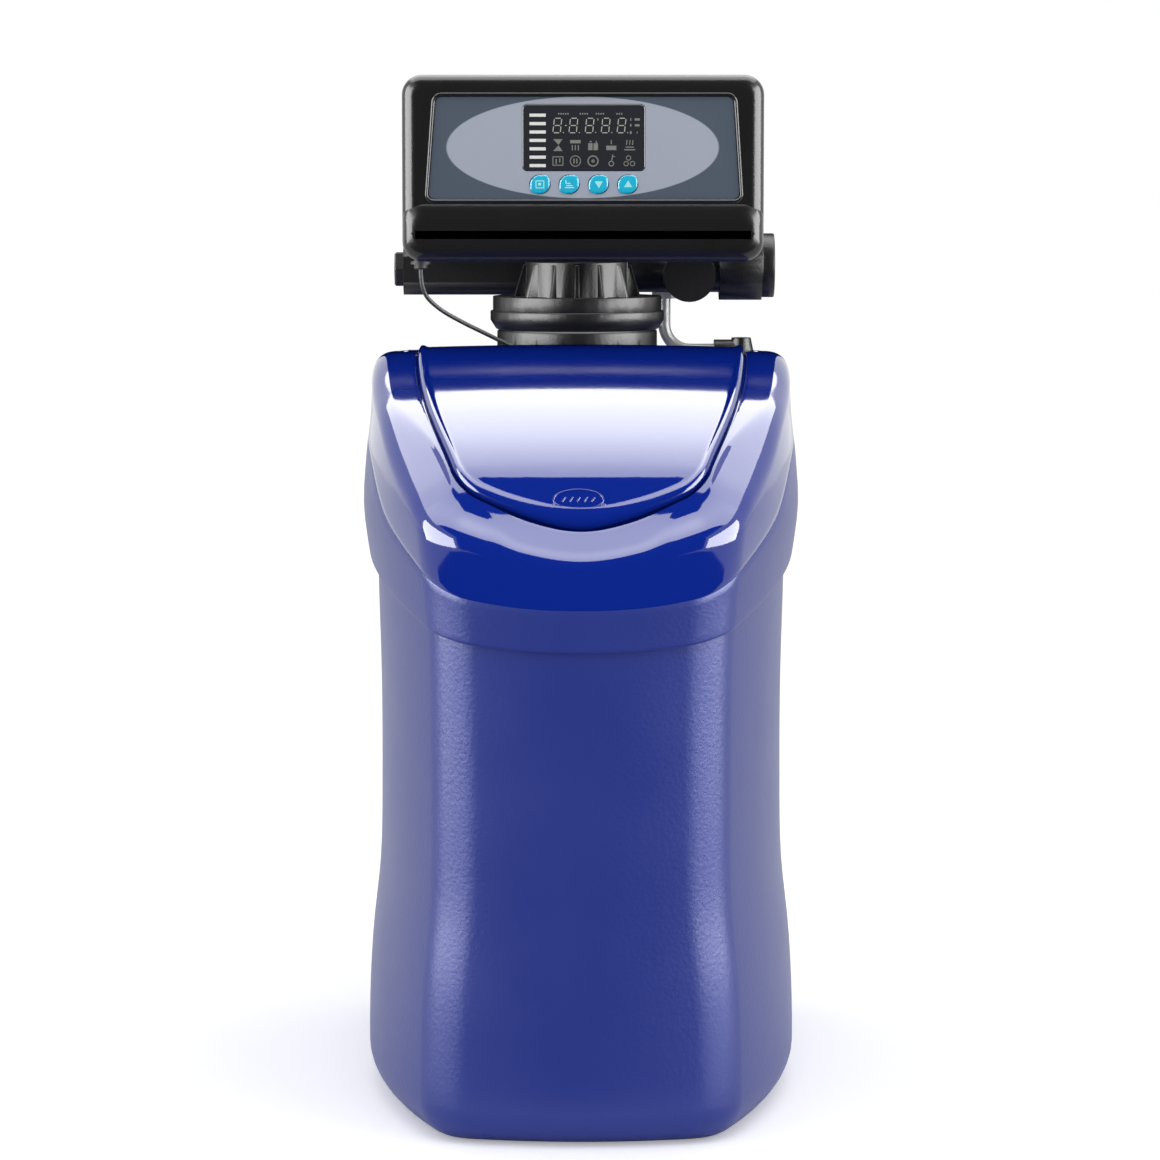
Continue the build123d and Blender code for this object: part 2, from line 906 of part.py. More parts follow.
# Brine well: a slotted tube that stands on the floor beside the vessel
with BuildPart() as brine_well:
    add(tall_ring(well_x, well_y, floor_top, well_height, well_radius, well_radius - well_wall))
    with BuildSketch(Plane.XY.offset(floor_top)):
        with Locations((well_x, well_y)):
            Circle(well_radius)
    extrude(amount=well_wall)
    with BuildSketch(Plane.XY.offset(floor_top + 2 * well_wall)):
        with Locations((well_x, well_y)):
            Rectangle(2 * well_radius + overrun, well_slot_width)
            Rectangle(well_slot_width, 2 * well_radius + overrun)
    extrude(amount=well_slot_height, mode=Mode.SUBTRACT)
    with BuildSketch(wall_plane(well_y + well_radius + overrun)):
        with Locations((well_x, well_port_z)):
            Circle(tube_radius + fit_gap)
    extrude(amount=well_radius + overrun, mode=Mode.SUBTRACT)
finish(brine_well, "brine_well")

with BuildPart() as well_cap:
    cap_radius = well_radius + fit_gap + well_cap_wall
    cap_bore = well_radius + fit_gap
    add(tall_ring(well_x, well_y, well_height - well_cap_skirt, well_height, cap_radius, cap_bore))
    with BuildSketch(Plane.XY.offset(well_height)):
        with Locations((well_x, well_y)):
            Circle(cap_radius)
    extrude(amount=well_cap_wall)
    fillet(well_cap.faces().sort_by(Axis.Z)[-1].edges(), radius=well_cap_wall / 2)
finish(well_cap, "well_cap")

# Float valve: a block that holds the air-check tube and guides the float's rod
rod_x = well_x + float_shift
block_foot = well_port_z - valve_block_height / 2
with BuildPart() as float_valve:
    with BuildSketch(Plane.XY.offset(block_foot)):
        with Locations((well_x, well_y)):
            RectangleRounded(valve_block_width, valve_block_depth, air_tube_radius)
        with Locations((rod_x, well_y)):
            Circle(float_rod_radius + running_gap, mode=Mode.SUBTRACT)
    extrude(amount=valve_block_height)
    add(tall_ring(well_x - air_tube_shift, well_y, air_tube_foot, block_foot, air_tube_radius,
                  air_tube_radius - tube_wall))
finish(float_valve, "float_valve")

with BuildPart() as float_rod:
    rod_top = well_height - float_travel - fit_gap
    add(tall_ring(rod_x, well_y, float_rod_foot, rod_top, float_rod_radius))
finish(float_rod, "float_rod")

with BuildPart() as brine_float:
    add(tall_ring(rod_x, well_y, float_z, float_z + float_height, float_radius, float_rod_radius))
    rims = brine_float.edges().filter_by(GeomType.CIRCLE).group_by(SortBy.RADIUS)[-1]
    fillet(rims, radius=float_radius / 4)
finish(brine_float, "brine_float")

# Resin vessel: a wound pressure bottle with domed ends and a threaded neck boss
def vessel_profile(inset, bore):
    """Half of the vessel's outline, drawn in by the inset, up to the boss."""
    with BuildSketch(vessel_plane) as half:
        with BuildLine():
            waist = vessel_radius - inset
            low = vessel_bottom + inset
            Spline(
                (0, low),
                (waist, vessel_bottom + vessel_dome),
                tangents=((1, 0), (0, 1)),
            )
            Line((waist, vessel_bottom + vessel_dome), (waist, vessel_shoulder))
            Spline(
                (waist, vessel_shoulder),
                (bore, boss_foot - inset),
                tangents=((0, 1), (-1, 0)),
            )
            Polyline((bore, boss_foot - inset), (bore, boss_top), (0, boss_top), (0, low))
        make_face()
    return half.sketch


with BuildPart() as vessel_outer:
    add(vessel_profile(0, boss_radius))
    revolve(axis=vessel_axis)
with BuildPart() as vessel_inner:
    add(vessel_profile(vessel_wall, boss_bore_radius))
    revolve(axis=vessel_axis)
with BuildPart() as resin_vessel:
    add(vessel_outer.part)
    add(vessel_inner.part, mode=Mode.SUBTRACT)
finish(resin_vessel, "resin_vessel")

with BuildPart() as vessel_foot:
    add(tall_ring(vessel_x, vessel_y, floor_top, foot_ring_top, foot_ring_outer, foot_ring_inner))
    add(vessel_outer.part.moved(Location((0, 0, -fit_gap))), mode=Mode.SUBTRACT)
finish(vessel_foot, "vessel_foot")

# Riser tube with its strainers, and the resin round them
riser_foot = vessel_bottom + vessel_wall + strainer_socket
with BuildPart() as riser_tube:
    add(tall_ring(vessel_x, vessel_y, riser_foot, riser_top, riser_radius, riser_radius - riser_wall))
finish(riser_tube, "riser_tube")

strainer_foot = vessel_bottom + vessel_wall + fit_gap
with BuildPart() as lower_strainer:
    add(tall_ring(vessel_x, vessel_y, strainer_foot, strainer_foot + strainer_height, strainer_radius))
    with BuildSketch(Plane.XY.offset(riser_foot)):
        with Locations((vessel_x, vessel_y)):
            Circle(riser_radius + running_gap)
    extrude(amount=strainer_height, mode=Mode.SUBTRACT)
    with BuildSketch(Plane.XY.offset(strainer_foot)):
        with Locations((vessel_x, vessel_y)):
            Circle(riser_radius - riser_wall)
    extrude(amount=strainer_height, mode=Mode.SUBTRACT)
    with BuildSketch(Plane.XY.offset(strainer_foot + 2 * slot_width)):
        with Locations((vessel_x, vessel_y)):
            with PolarLocations(strainer_radius, slot_count):
                Rectangle(riser_radius, slot_width)
    extrude(amount=strainer_height - 5 * slot_width, mode=Mode.SUBTRACT)
finish(lower_strainer, "lower_strainer")

with BuildPart() as upper_strainer:
    add(tall_ring(vessel_x, vessel_y, upper_strainer_foot, upper_strainer_top, upper_strainer_radius,
                  riser_seat_radius + fit_gap))
    with BuildSketch(Plane.XY.offset(upper_strainer_foot)):
        with Locations((vessel_x, vessel_y)):
            Circle(upper_strainer_radius)
            Circle(riser_radius + running_gap, mode=Mode.SUBTRACT)
    extrude(amount=slot_width)
    with BuildSketch(Plane.XY.offset(upper_strainer_foot + 2 * slot_width)):
        with Locations((vessel_x, vessel_y)):
            with PolarLocations(upper_strainer_radius, slot_count):
                Rectangle(riser_radius, slot_width)
    extrude(amount=upper_strainer_top - upper_strainer_foot - 5 * slot_width, mode=Mode.SUBTRACT)
finish(upper_strainer, "upper_strainer")

with BuildPart() as resin_bed:
    add(vessel_profile(vessel_wall + fit_gap, boss_bore_radius - fit_gap))
    revolve(axis=vessel_axis)
    with BuildSketch(Plane.XY.offset(resin_level)):
        with Locations((vessel_x, vessel_y)):
            Circle(vessel_radius)
    extrude(amount=vessel_radius * 2, mode=Mode.SUBTRACT)
    with BuildSketch():
        with Locations((vessel_x, vessel_y)):
            Circle(riser_radius + fit_gap)
    extrude(amount=resin_level, mode=Mode.SUBTRACT)
    with BuildSketch():
        with Locations((vessel_x, vessel_y)):
            Circle(strainer_radius + fit_gap)
    extrude(amount=strainer_foot + strainer_height + fit_gap, mode=Mode.SUBTRACT)
finish(resin_bed, "resin_bed")

# Neck rings: two grooved collars between the vessel's boss and the valve's flange
with BuildPart() as lower_neck_ring:
    add(tall_ring(vessel_x, vessel_y, boss_top, lower_ring_top, lower_ring_radius, spigot_radius + fit_gap))
    with BuildSketch(Plane.XY.offset(boss_top)):
        with Locations((vessel_x, vessel_y)):
            with PolarLocations(lower_ring_radius, lower_ring_grooves):
                Rectangle(2 * lower_ring_groove, lower_ring_groove)
    groove_height = (lower_ring_top - boss_top) / 2
    extrude(amount=groove_height, mode=Mode.SUBTRACT)
    chamfer(lower_neck_ring.faces().sort_by(Axis.Z)[-1].edges().sort_by(SortBy.LENGTH)[-1:],
            length=lower_ring_groove / 2)
finish(lower_neck_ring, "lower_neck_ring")

with BuildPart() as upper_neck_ring:
    with BuildSketch(vessel_plane):
        with BuildLine():
            ring_bore = spigot_radius + fit_gap
            ring_foot = lower_ring_top
            ring_middle = (ring_foot + upper_ring_top) / 2
            Polyline(
                (ring_bore, ring_foot),
                (upper_ring_waist, ring_foot),
                (upper_ring_radius, ring_middle),
                (upper_ring_radius, upper_ring_top),
                (ring_bore, upper_ring_top),
                close=True,
            )
        make_face()
    revolve(axis=vessel_axis)
finish(upper_neck_ring, "upper_neck_ring")

with BuildPart() as neck_seal:
    with BuildSketch(vessel_plane):
        with Locations((boss_bore_radius - seal_cord_radius - running_gap, seal_z)):
            Circle(seal_cord_radius)
    revolve(axis=vessel_axis)
finish(neck_seal, "neck_seal")

# Control valve body: a moulding with a disc chamber above, a hub on the neck, a bar to
# the left and a threaded arm to the right
bar_height = bar_top - bar_foot
with BuildPart() as valve_body:
    add(tall_ring(vessel_x, vessel_y, spigot_foot, upper_ring_top, spigot_radius))
    add(tall_ring(vessel_x, vessel_y, upper_ring_top, neck_flange_top, neck_flange_radius))
    add(tall_ring(vessel_x, vessel_y, neck_flange_top, hub_top, hub_radius))
    with BuildSketch(Plane.XY.offset(neck_flange_top)):
        with Locations((drive_x, (tower_front + tower_back) / 2)):
            Rectangle(2 * tower_half_width, tower_back - tower_front)
    extrude(amount=drive_z - neck_flange_top)
    with BuildSketch(wall_plane(chamber_back)):
        with Locations((drive_x, drive_z)):
            Circle(chamber_radius)
    extrude(amount=chamber_back - chamber_front)
    with BuildSketch(Plane.YZ.offset(arm_start)):
        with Locations((arm_y, arm_z)):
            Circle(arm_radius)
    extrude(amount=port_start - arm_start)
    with BuildSketch(Plane.YZ.offset(port_start)):
        with Locations((arm_y, arm_z)):
            Circle(port_radius)
    extrude(amount=port_end - port_start)
    with BuildSketch(wall_plane(arm_y)):
        with Locations((boss_x, boss_z)):
            Circle(round_boss_radius)
    extrude(amount=arm_y - round_boss_front)
    with BuildSketch(Plane.YZ.offset(bar_end)):
        with Locations(((bar_front + bar_back) / 2, bar_foot + bar_height / 2)):
            RectangleRounded(bar_back - bar_front, bar_height, bar_height / 4)
    extrude(amount=bar_start - bar_end)
    with BuildSketch(Plane.XY.offset(brine_boss_foot)):
        with Locations((brine_x, (arm_y + elbow_y + brine_boss_width / 2) / 2)):
            brine_boss_reach = elbow_y + brine_boss_width / 2 - arm_y
            Rectangle(brine_boss_width, brine_boss_reach)
    extrude(amount=brine_boss_top - brine_boss_foot)
    with BuildSketch(Plane.XY.offset(arm_z)):
        with Locations((turbine_x, arm_y)):
            Rectangle(3 * probe_radius, 3 * probe_radius)
    extrude(amount=probe_boss_top - arm_z)
    with BuildSketch(wall_plane(inlet_boss_back)):
        with Locations((inlet_x, inlet_z)):
            Circle(inlet_boss_radius)
    extrude(amount=inlet_boss_back - (tower_front + tower_back) / 2)
    add(tall_ring(vessel_x, vessel_y, spigot_foot, brine_boss_foot, spigot_bore_radius),
        mode=Mode.SUBTRACT)
    add(tall_ring(vessel_x, vessel_y, riser_seat_foot, brine_boss_foot, riser_seat_radius,
                  riser_radius + running_gap))
    add(tall_ring(vessel_x, vessel_y, riser_top + fit_gap, brine_boss_foot, riser_seat_radius))
    add(tall_ring(vessel_x, vessel_y, riser_top, drive_z - chamber_bore_radius / 2, passage_radius),
        mode=Mode.SUBTRACT)
    with BuildSketch(wall_plane(chamber_floor)):
        with Locations((drive_x, drive_z)):
            Circle(chamber_bore_radius)
    extrude(amount=chamber_floor - chamber_front, mode=Mode.SUBTRACT)
    with BuildSketch(Plane.YZ.offset(turbine_x - cage_reach - cage_wall)):
        with Locations((arm_y, arm_z)):
            Circle(arm_bore_radius)
    extrude(amount=cabinet_half_width, mode=Mode.SUBTRACT)
    with BuildSketch(Plane.YZ.offset(bar_end - overrun)):
        with Locations((arm_y, bar_foot + bar_height / 2)):
            Circle(bar_bore_radius)
    extrude(amount=overrun + bar_start - bar_end - bar_height, mode=Mode.SUBTRACT)
    with BuildSketch(wall_plane(inlet_boss_back)):
        with Locations((inlet_x, inlet_z)):
            Circle(tail_bore_radius)
    extrude(amount=inlet_boss_back - tower_back, mode=Mode.SUBTRACT)
    with BuildSketch(wall_plane(bar_back)):
        with Locations((drain_x, drain_z)):
            Circle(drain_bore_radius)
    extrude(amount=bar_back - arm_y, mode=Mode.SUBTRACT)
    add(tall_ring(brine_x, elbow_y, brine_boss_foot, brine_boss_top - 2 * tube_wall,
                  tube_radius - tube_wall), mode=Mode.SUBTRACT)
    with BuildSketch(wall_plane(chamber_front + bonnet_screw_length)):
        with Locations((drive_x, drive_z)):
            with PolarLocations(bonnet_screw_ring, bonnet_screws_count):
                Circle(bonnet_screw_radius + running_gap)
    extrude(amount=overrun, mode=Mode.SUBTRACT)
    with BuildSketch(vessel_plane):
        with Locations((boss_bore_radius - seal_cord_radius, seal_z)):
            Rectangle(2 * seal_cord_radius + 2 * fit_gap, 2 * seal_cord_radius + 2 * fit_gap)
    revolve(axis=vessel_axis, mode=Mode.SUBTRACT)
finish(valve_body, "valve_body")

# Outlet and inlet tails: threaded ends for the pipe unions
def barbed(plane, radius, length, bore):
    """A straight stub with shallow barbs and a bore, drawn from its root outwards."""
    step = length / barb_count
    with BuildPart() as stub:
        with BuildSketch(plane):
            Circle(radius)
        extrude(amount=length)
        for turn in range(barb_count):
            with BuildSketch(plane.offset(step * turn + step / 2)):
                Circle(radius + barb_rise)
            extrude(amount=step / 2, taper=math.degrees(math.atan(barb_rise / step)))
        with BuildSketch(plane):
            Circle(bore)
        extrude(amount=length, mode=Mode.SUBTRACT)
    return stub.part


with BuildPart() as outlet_tail:
    with BuildSketch(Plane.YZ.offset(port_end)):
        with Locations((arm_y, arm_z)):
            Circle(thread_radius)
            Circle(arm_bore_radius, mode=Mode.SUBTRACT)
    extrude(amount=outlet_end - port_end)
    chamfer(outlet_tail.faces().sort_by(Axis.X)[-1].edges(), length=barb_rise / 2)
finish(outlet_tail, "outlet_tail")

with BuildPart() as inlet_tail:
    with BuildSketch(wall_plane(inlet_boss_back + tail_length)):
        with Locations((inlet_x, inlet_z)):
            Circle(thread_radius)
            Circle(tail_bore_radius, mode=Mode.SUBTRACT)
    extrude(amount=tail_length)
    chamfer(inlet_tail.faces().sort_by(Axis.Y)[-1].edges(), length=barb_rise / 2)
finish(inlet_tail, "inlet_tail")

# Drain fitting: a hexagon with a hose barb that points to the back
drain_plane = Plane(origin=(drain_x, bar_back, drain_z), x_dir=(1, 0, 0), z_dir=(0, 1, 0))
with BuildPart() as drain_fitting:
    with BuildSketch(drain_plane):
        hexagon(drain_nut_radius)
        Circle(drain_bore_radius, mode=Mode.SUBTRACT)
    extrude(amount=drain_nut_length)
    add(barbed(drain_plane.offset(drain_nut_length), drain_barb_radius, drain_barb_length,
               drain_bore_radius))
finish(drain_fitting, "drain_fitting")

# Injector: a nozzle in the left bar, behind a screwed cap
with BuildPart() as injector_nozzle:
    with BuildSketch(Plane.YZ.offset(bar_end + fit_gap)):
        with Locations((arm_y, bar_foot + bar_height / 2)):
            Circle(bar_bore_radius - running_gap)
            Circle(injector_throat_radius, mode=Mode.SUBTRACT)
    extrude(amount=injector_length)
finish(injector_nozzle, "injector_nozzle")

with BuildPart() as injector_cap:
    with BuildSketch(Plane.YZ.offset(injector_cap_end)):
        with Locations((arm_y, bar_foot + bar_height / 2)):
            hexagon(injector_cap_radius)
    extrude(amount=bar_end - injector_cap_end)
    chamfer(injector_cap.faces().sort_by(Axis.X)[0].edges(), length=barb_rise)
finish(injector_cap, "injector_cap")

# Flow meter in the right arm: a bladed turbine on a shaft, its cage and a probe
with BuildPart() as flow_turbine:
    with BuildSketch(Plane.YZ.offset(turbine_x - turbine_length / 2)):
        with Locations((arm_y, arm_z)):
            Circle(turbine_hub_radius)
            with PolarLocations(turbine_radius / 2, turbine_blades):
                Rectangle(turbine_radius, turbine_blade)
    extrude(amount=turbine_length)
    with BuildSketch(Plane.YZ.offset(turbine_x - turbine_shaft_reach)):
        with Locations((arm_y, arm_z)):
            Circle(turbine_shaft_radius)
    extrude(amount=2 * turbine_shaft_reach)
finish(flow_turbine, "flow_turbine")

with BuildPart() as turbine_cage:
    cage_radius = arm_bore_radius - running_gap
    with BuildSketch(Plane.YZ.offset(turbine_x - cage_reach)):
        with Locations((arm_y, arm_z)):
            Circle(cage_radius)
            Circle(cage_radius - cage_wall, mode=Mode.SUBTRACT)
    extrude(amount=2 * cage_reach)
    for start in (-cage_reach, cage_reach - cage_spider):
        with BuildSketch(Plane.YZ.offset(turbine_x + start)):
            with Locations((arm_y, arm_z)):
                Circle(turbine_hub_radius)
                with PolarLocations(cage_radius / 2, cage_spokes):
                    Rectangle(cage_radius, 2 * cage_wall)
                Circle(turbine_shaft_radius + running_gap, mode=Mode.SUBTRACT)
        extrude(amount=cage_spider)
finish(turbine_cage, "turbine_cage")

with BuildPart() as meter_probe:
    add(tall_ring(turbine_x, arm_y, probe_boss_top, probe_boss_top + probe_length, probe_radius))
    fillet(meter_probe.faces().sort_by(Axis.Z)[-1].edges(), radius=probe_radius / 3)
finish(meter_probe, "meter_probe")

# Ceramic discs, rotor and bonnet, stacked on the drive's axis
fixed_disc_front = chamber_floor - disc_wall
moving_disc_front = fixed_disc_front - disc_wall
rotor_front = moving_disc_front - rotor_flange


def drive_disc(back, thick, radius, bore=0.0, ports=0):
    """A disc on the drive's axis with a bore and a ring of ports."""
    with BuildPart() as disc:
        with BuildSketch(wall_plane(back)):
            with Locations((drive_x, drive_z)):
                Circle(radius)
                if bore:
                    Circle(bore, mode=Mode.SUBTRACT)
                if ports:
                    with PolarLocations(disc_port_ring, ports):
                        Circle(disc_port_radius, mode=Mode.SUBTRACT)
        extrude(amount=thick)
    return disc.part


with BuildPart() as fixed_disc:
    add(drive_disc(chamber_floor, disc_wall, fixed_disc_radius, ports=disc_ports))
finish(fixed_disc, "fixed_disc")

with BuildPart() as moving_disc:
    add(drive_disc(fixed_disc_front, disc_wall, moving_disc_radius, ports=disc_ports - 2))
finish(moving_disc, "moving_disc")

with BuildPart() as disc_rotor:
    add(drive_disc(moving_disc_front, rotor_flange, moving_disc_radius))
    add(drive_disc(rotor_front, rotor_front - gear_front, rotor_shaft_radius))
finish(disc_rotor, "disc_rotor")

with BuildPart() as valve_bonnet:
    add(drive_disc(chamber_front, chamber_front - bonnet_front, chamber_radius,
                   rotor_shaft_radius + running_gap))
    add(drive_disc(rotor_front - fit_gap, rotor_front - fit_gap - chamber_front,
                   chamber_bore_radius - fit_gap, rotor_shaft_radius + running_gap))
    with BuildSketch(wall_plane(chamber_front)):
        with Locations((drive_x, drive_z)):
            with PolarLocations(bonnet_screw_ring, bonnet_screws_count):
                Circle(bonnet_screw_radius + running_gap)
    extrude(amount=chamber_front - bonnet_front, mode=Mode.SUBTRACT)
    with BuildSketch(wall_plane(bonnet_front + bonnet_head + fit_gap)):
        with Locations((drive_x, drive_z)):
            with PolarLocations(bonnet_screw_ring, bonnet_screws_count):
                Circle(bonnet_head_radius + fit_gap)
    extrude(amount=bonnet_head + fit_gap, mode=Mode.SUBTRACT)
finish(valve_bonnet, "valve_bonnet")

with BuildPart() as bonnet_screws:
    head_back = bonnet_front + bonnet_head + fit_gap
    with BuildSketch(wall_plane(head_back)):
        with Locations((drive_x, drive_z)):
            with PolarLocations(bonnet_screw_ring, bonnet_screws_count):
                Circle(bonnet_head_radius)
    extrude(amount=bonnet_head)
    with BuildSketch(wall_plane(head_back + bonnet_screw_length - bonnet_head)):
        with Locations((drive_x, drive_z)):
            with PolarLocations(bonnet_screw_ring, bonnet_screws_count):
                Circle(bonnet_screw_radius)
    extrude(amount=bonnet_screw_length - bonnet_head)
finish(bonnet_screws, "bonnet_screws")


def gear_sketch(teeth, turn):
    """A spur gear's outline, with one tooth pointing at the turn angle."""
    pitch_radius = gear_module * teeth / 2
    root_radius = pitch_radius - gear_module * dedendum_share
    tip_radius = pitch_radius + gear_module * addendum_share
    pitch = math.pi * gear_module
    root_half = pitch * tooth_root_share / 2
    tip_half = pitch * tooth_tip_share / 2
    with BuildSketch() as outline:
        Circle(root_radius)
        with BuildSketch(mode=Mode.PRIVATE) as tooth:
            with BuildLine():
                Polyline(
                    (root_radius - gear_module / 2, -root_half),
                    (root_radius, -root_half),
                    (tip_radius, -tip_half),
                    (tip_radius, tip_half),
                    (root_radius, root_half),
                    (root_radius - gear_module / 2, root_half),
                    close=True,
                )
            make_face()
        with PolarLocations(0, teeth, start_angle=turn):
            add(tooth.sketch)
    return outline.sketch


# Gear train: a motor pinion, an idler and the main gear on the rotor's shaft
main_pitch = gear_module * main_teeth / 2
idler_pitch = gear_module * idler_teeth / 2
pinion_pitch = gear_module * pinion_teeth / 2
idler_x = drive_x + main_pitch + idler_pitch
idler_z = drive_z
pinion_reach = idler_pitch + pinion_pitch
pinion_x = idler_x + pinion_reach * math.cos(math.radians(pinion_angle))
pinion_z = idler_z + pinion_reach * math.sin(math.radians(pinion_angle))
gear_back = gear_front + gear_width
idler_turn = 180 / idler_teeth
pinion_turn = pinion_angle + 180 + 180 / pinion_teeth


def spur_gear(x, z, teeth, turn, bore):
    with BuildPart() as gear:
        with BuildSketch(wall_plane(gear_back)):
            with Locations((x, z)):
                add(gear_sketch(teeth, turn))
                Circle(bore, mode=Mode.SUBTRACT)
        extrude(amount=gear_width)
    return gear.part


with BuildPart() as main_gear:
    add(spur_gear(drive_x, drive_z, main_teeth, 0, rotor_shaft_radius))
    for back in (gear_back, gear_front + web_depth):
        with BuildSketch(wall_plane(back)):
            with Locations((drive_x, drive_z)):
                Circle(web_outer_radius)
                Circle(web_inner_radius, mode=Mode.SUBTRACT)
        extrude(amount=web_depth, mode=Mode.SUBTRACT)
finish(main_gear, "main_gear")

with BuildPart() as idler_gear:
    add(spur_gear(idler_x, idler_z, idler_teeth, idler_turn, idler_axle_radius + running_gap))
finish(idler_gear, "idler_gear")

with BuildPart() as motor_pinion:
    add(spur_gear(pinion_x, pinion_z, pinion_teeth, pinion_turn, motor_shaft_radius))
    with BuildSketch(wall_plane(gear_back + motor_gap)):
        with Locations((pinion_x, pinion_z)):
            Circle(motor_shaft_radius)
    extrude(amount=gear_width + motor_gap)
finish(motor_pinion, "motor_pinion")

motor_front = gear_back + motor_gap
box_back = bonnet_front
shell_inside = box_back - box_wall
with BuildPart() as gear_motor:
    with BuildSketch(wall_plane(shell_inside)):
        with Locations((pinion_x, pinion_z)):
            Circle(motor_radius)
    extrude(amount=shell_inside - motor_front)
    with BuildSketch(wall_plane(motor_front + motor_ear_wall)):
        with Locations((pinion_x, pinion_z)):
            Rectangle(2 * motor_ear_half_width, 2 * motor_ear_reach)
    extrude(amount=motor_ear_wall)
    with BuildSketch(wall_plane(motor_front + gear_width)):
        with Locations((pinion_x, pinion_z)):
            Circle(motor_shaft_radius + running_gap)
    extrude(amount=gear_width, mode=Mode.SUBTRACT)
finish(gear_motor, "gear_motor")

# Control box shells: a front with a sunk panel and a proud chin, and a plain back
box_middle = (box_foot + box_top) / 2
box_height = box_top - box_foot
box_width = 2 * box_half_width
panel_back = box_face + panel_recess
shell_front_inside = panel_back + box_wall
corner_places = [(box_x + x, box_middle + z) for x in (-screw_x, screw_x) for z in (-screw_z, screw_z)]
post_places = [
    (box_x + x, box_middle + z)
    for x in (-board_post_x, board_post_x)
    for z in (-board_post_z, board_post_z)
]
key_places = [(display_x + key_pitch * step, key_z) for step in key_steps]


def box_outline(inset):
    with BuildSketch() as outline:
        with Locations((box_x, box_middle)):
            RectangleRounded(box_width - 2 * inset, box_height - 2 * inset, box_corner - inset)
    return outline.sketch


def panel_outline(inset):
    with BuildSketch() as outline:
        with BuildLine():
            Polyline(
                (panel_foot_left + inset, panel_foot + inset),
                (panel_foot_right - inset, panel_foot + inset),
                (panel_head_right - inset, panel_head - inset),
                (panel_head_left + inset, panel_head - inset),
                close=True,
            )
        make_face()
        fillet(outline.vertices(), radius=panel_corner)
    return outline.sketch


def wall_piece(back, front, sketch):
    """The upright prism of a front view between two depths."""
    with BuildPart() as prism:
        with BuildSketch(wall_plane(back)):
            add(sketch)
        extrude(amount=back - front)
    return prism.part


def spots(places, radius):
    with BuildSketch() as dots:
        with Locations(*places):
            Circle(radius)
    return dots.sketch


def display_outline(grow):
    with BuildSketch() as outline:
        with Locations((display_x, display_z)):
            window_width = 2 * (display_half_width + grow)
            window_height = 2 * (display_half_height + grow)
            RectangleRounded(window_width, window_height, display_corner)
    return outline.sketch


def key_outline(x, grow):
    with BuildSketch() as outline:
        with Locations((x, key_z)):
            Ellipse(key_half_width + grow, key_half_height + grow)
    return outline.sketch


with BuildPart() as box_front:
    add(wall_piece(box_split, box_face, box_outline(0)))
    fillet(box_front.faces().sort_by(Axis.Y)[0].edges(), radius=box_edge_radius)
    with BuildPart(mode=Mode.PRIVATE) as chin:
        with BuildSketch(wall_plane(box_split / 2)):
            with Locations((box_x, (chin_foot + chin_top) / 2)):
                RectangleRounded(2 * chin_half_width, chin_top - chin_foot, box_corner - box_wall)
        extrude(amount=box_split / 2 - chin_face)
        fillet(chin.faces().sort_by(Axis.Y)[0].edges(), radius=chin_edge_radius)
    add(chin.part)
    add(wall_piece(box_split, shell_front_inside, box_outline(box_wall)), mode=Mode.SUBTRACT)
    add(wall_piece(panel_back, chin_face, panel_outline(0)), mode=Mode.SUBTRACT)
    add(wall_piece(box_split, panel_back, spots(corner_places, screw_post_radius)))
    add(wall_piece(board_face, panel_back, spots(post_places, board_post_radius)))
    add(wall_piece(box_split, shell_front_inside, spots(corner_places, screw_radius + running_gap)),
        mode=Mode.SUBTRACT)
    add(wall_piece(board_face, shell_front_inside, spots(post_places, board_screw_radius + running_gap)),
        mode=Mode.SUBTRACT)
    add(wall_piece(shell_front_inside, chin_face, display_outline(key_gap)), mode=Mode.SUBTRACT)
    for x, z in key_places:
        add(wall_piece(shell_front_inside, chin_face, key_outline(x, key_gap)), mode=Mode.SUBTRACT)
    add(tall_ring(bush_x, bush_y, box_foot, box_foot + box_wall, bush_radius + running_gap),
        mode=Mode.SUBTRACT)
finish(box_front, "box_front")

with BuildPart() as box_gasket:
    add(wall_piece(box_split + gasket, box_split, box_outline(0)))
    add(wall_piece(box_split + gasket, box_split, box_outline(box_wall)), mode=Mode.SUBTRACT)
finish(box_gasket, "box_gasket")

with BuildPart() as box_rear:
    add(wall_piece(box_back, box_split + gasket, box_outline(0)))
    fillet(box_rear.faces().sort_by(Axis.Y)[-1].edges(), radius=box_edge_radius)
    add(wall_piece(shell_inside, box_split + gasket, box_outline(box_wall)), mode=Mode.SUBTRACT)
    add(wall_piece(box_back - box_wall / 2, box_split + gasket, spots(corner_places, screw_post_radius)))
    add(wall_piece(shell_inside, gear_front, spots([(idler_x, idler_z)], idler_axle_radius)))
    add(wall_piece(shell_inside, gear_back + fit_gap, spots([(idler_x, idler_z)], 2 * idler_axle_radius)))
    add(wall_piece(box_back, box_split, spots(corner_places, screw_radius + running_gap)),
        mode=Mode.SUBTRACT)
    add(wall_piece(box_back, shell_inside, spots([(drive_x, drive_z)], 2 * rotor_shaft_radius)),
        mode=Mode.SUBTRACT)
    ear_places = [(pinion_x, pinion_z + z) for z in (-motor_post_shift, motor_post_shift)]
    add(wall_piece(shell_inside, motor_front + motor_ear_wall, spots(ear_places, motor_ear_half_width / 2)))
finish(box_rear, "box_rear")

with BuildPart() as box_screws:
    add(wall_piece(box_back + screw_head, box_back, spots(corner_places, screw_head_radius)))
    add(wall_piece(box_back, box_split - screw_bite, spots(corner_places, screw_radius)))
finish(box_screws, "box_screws")

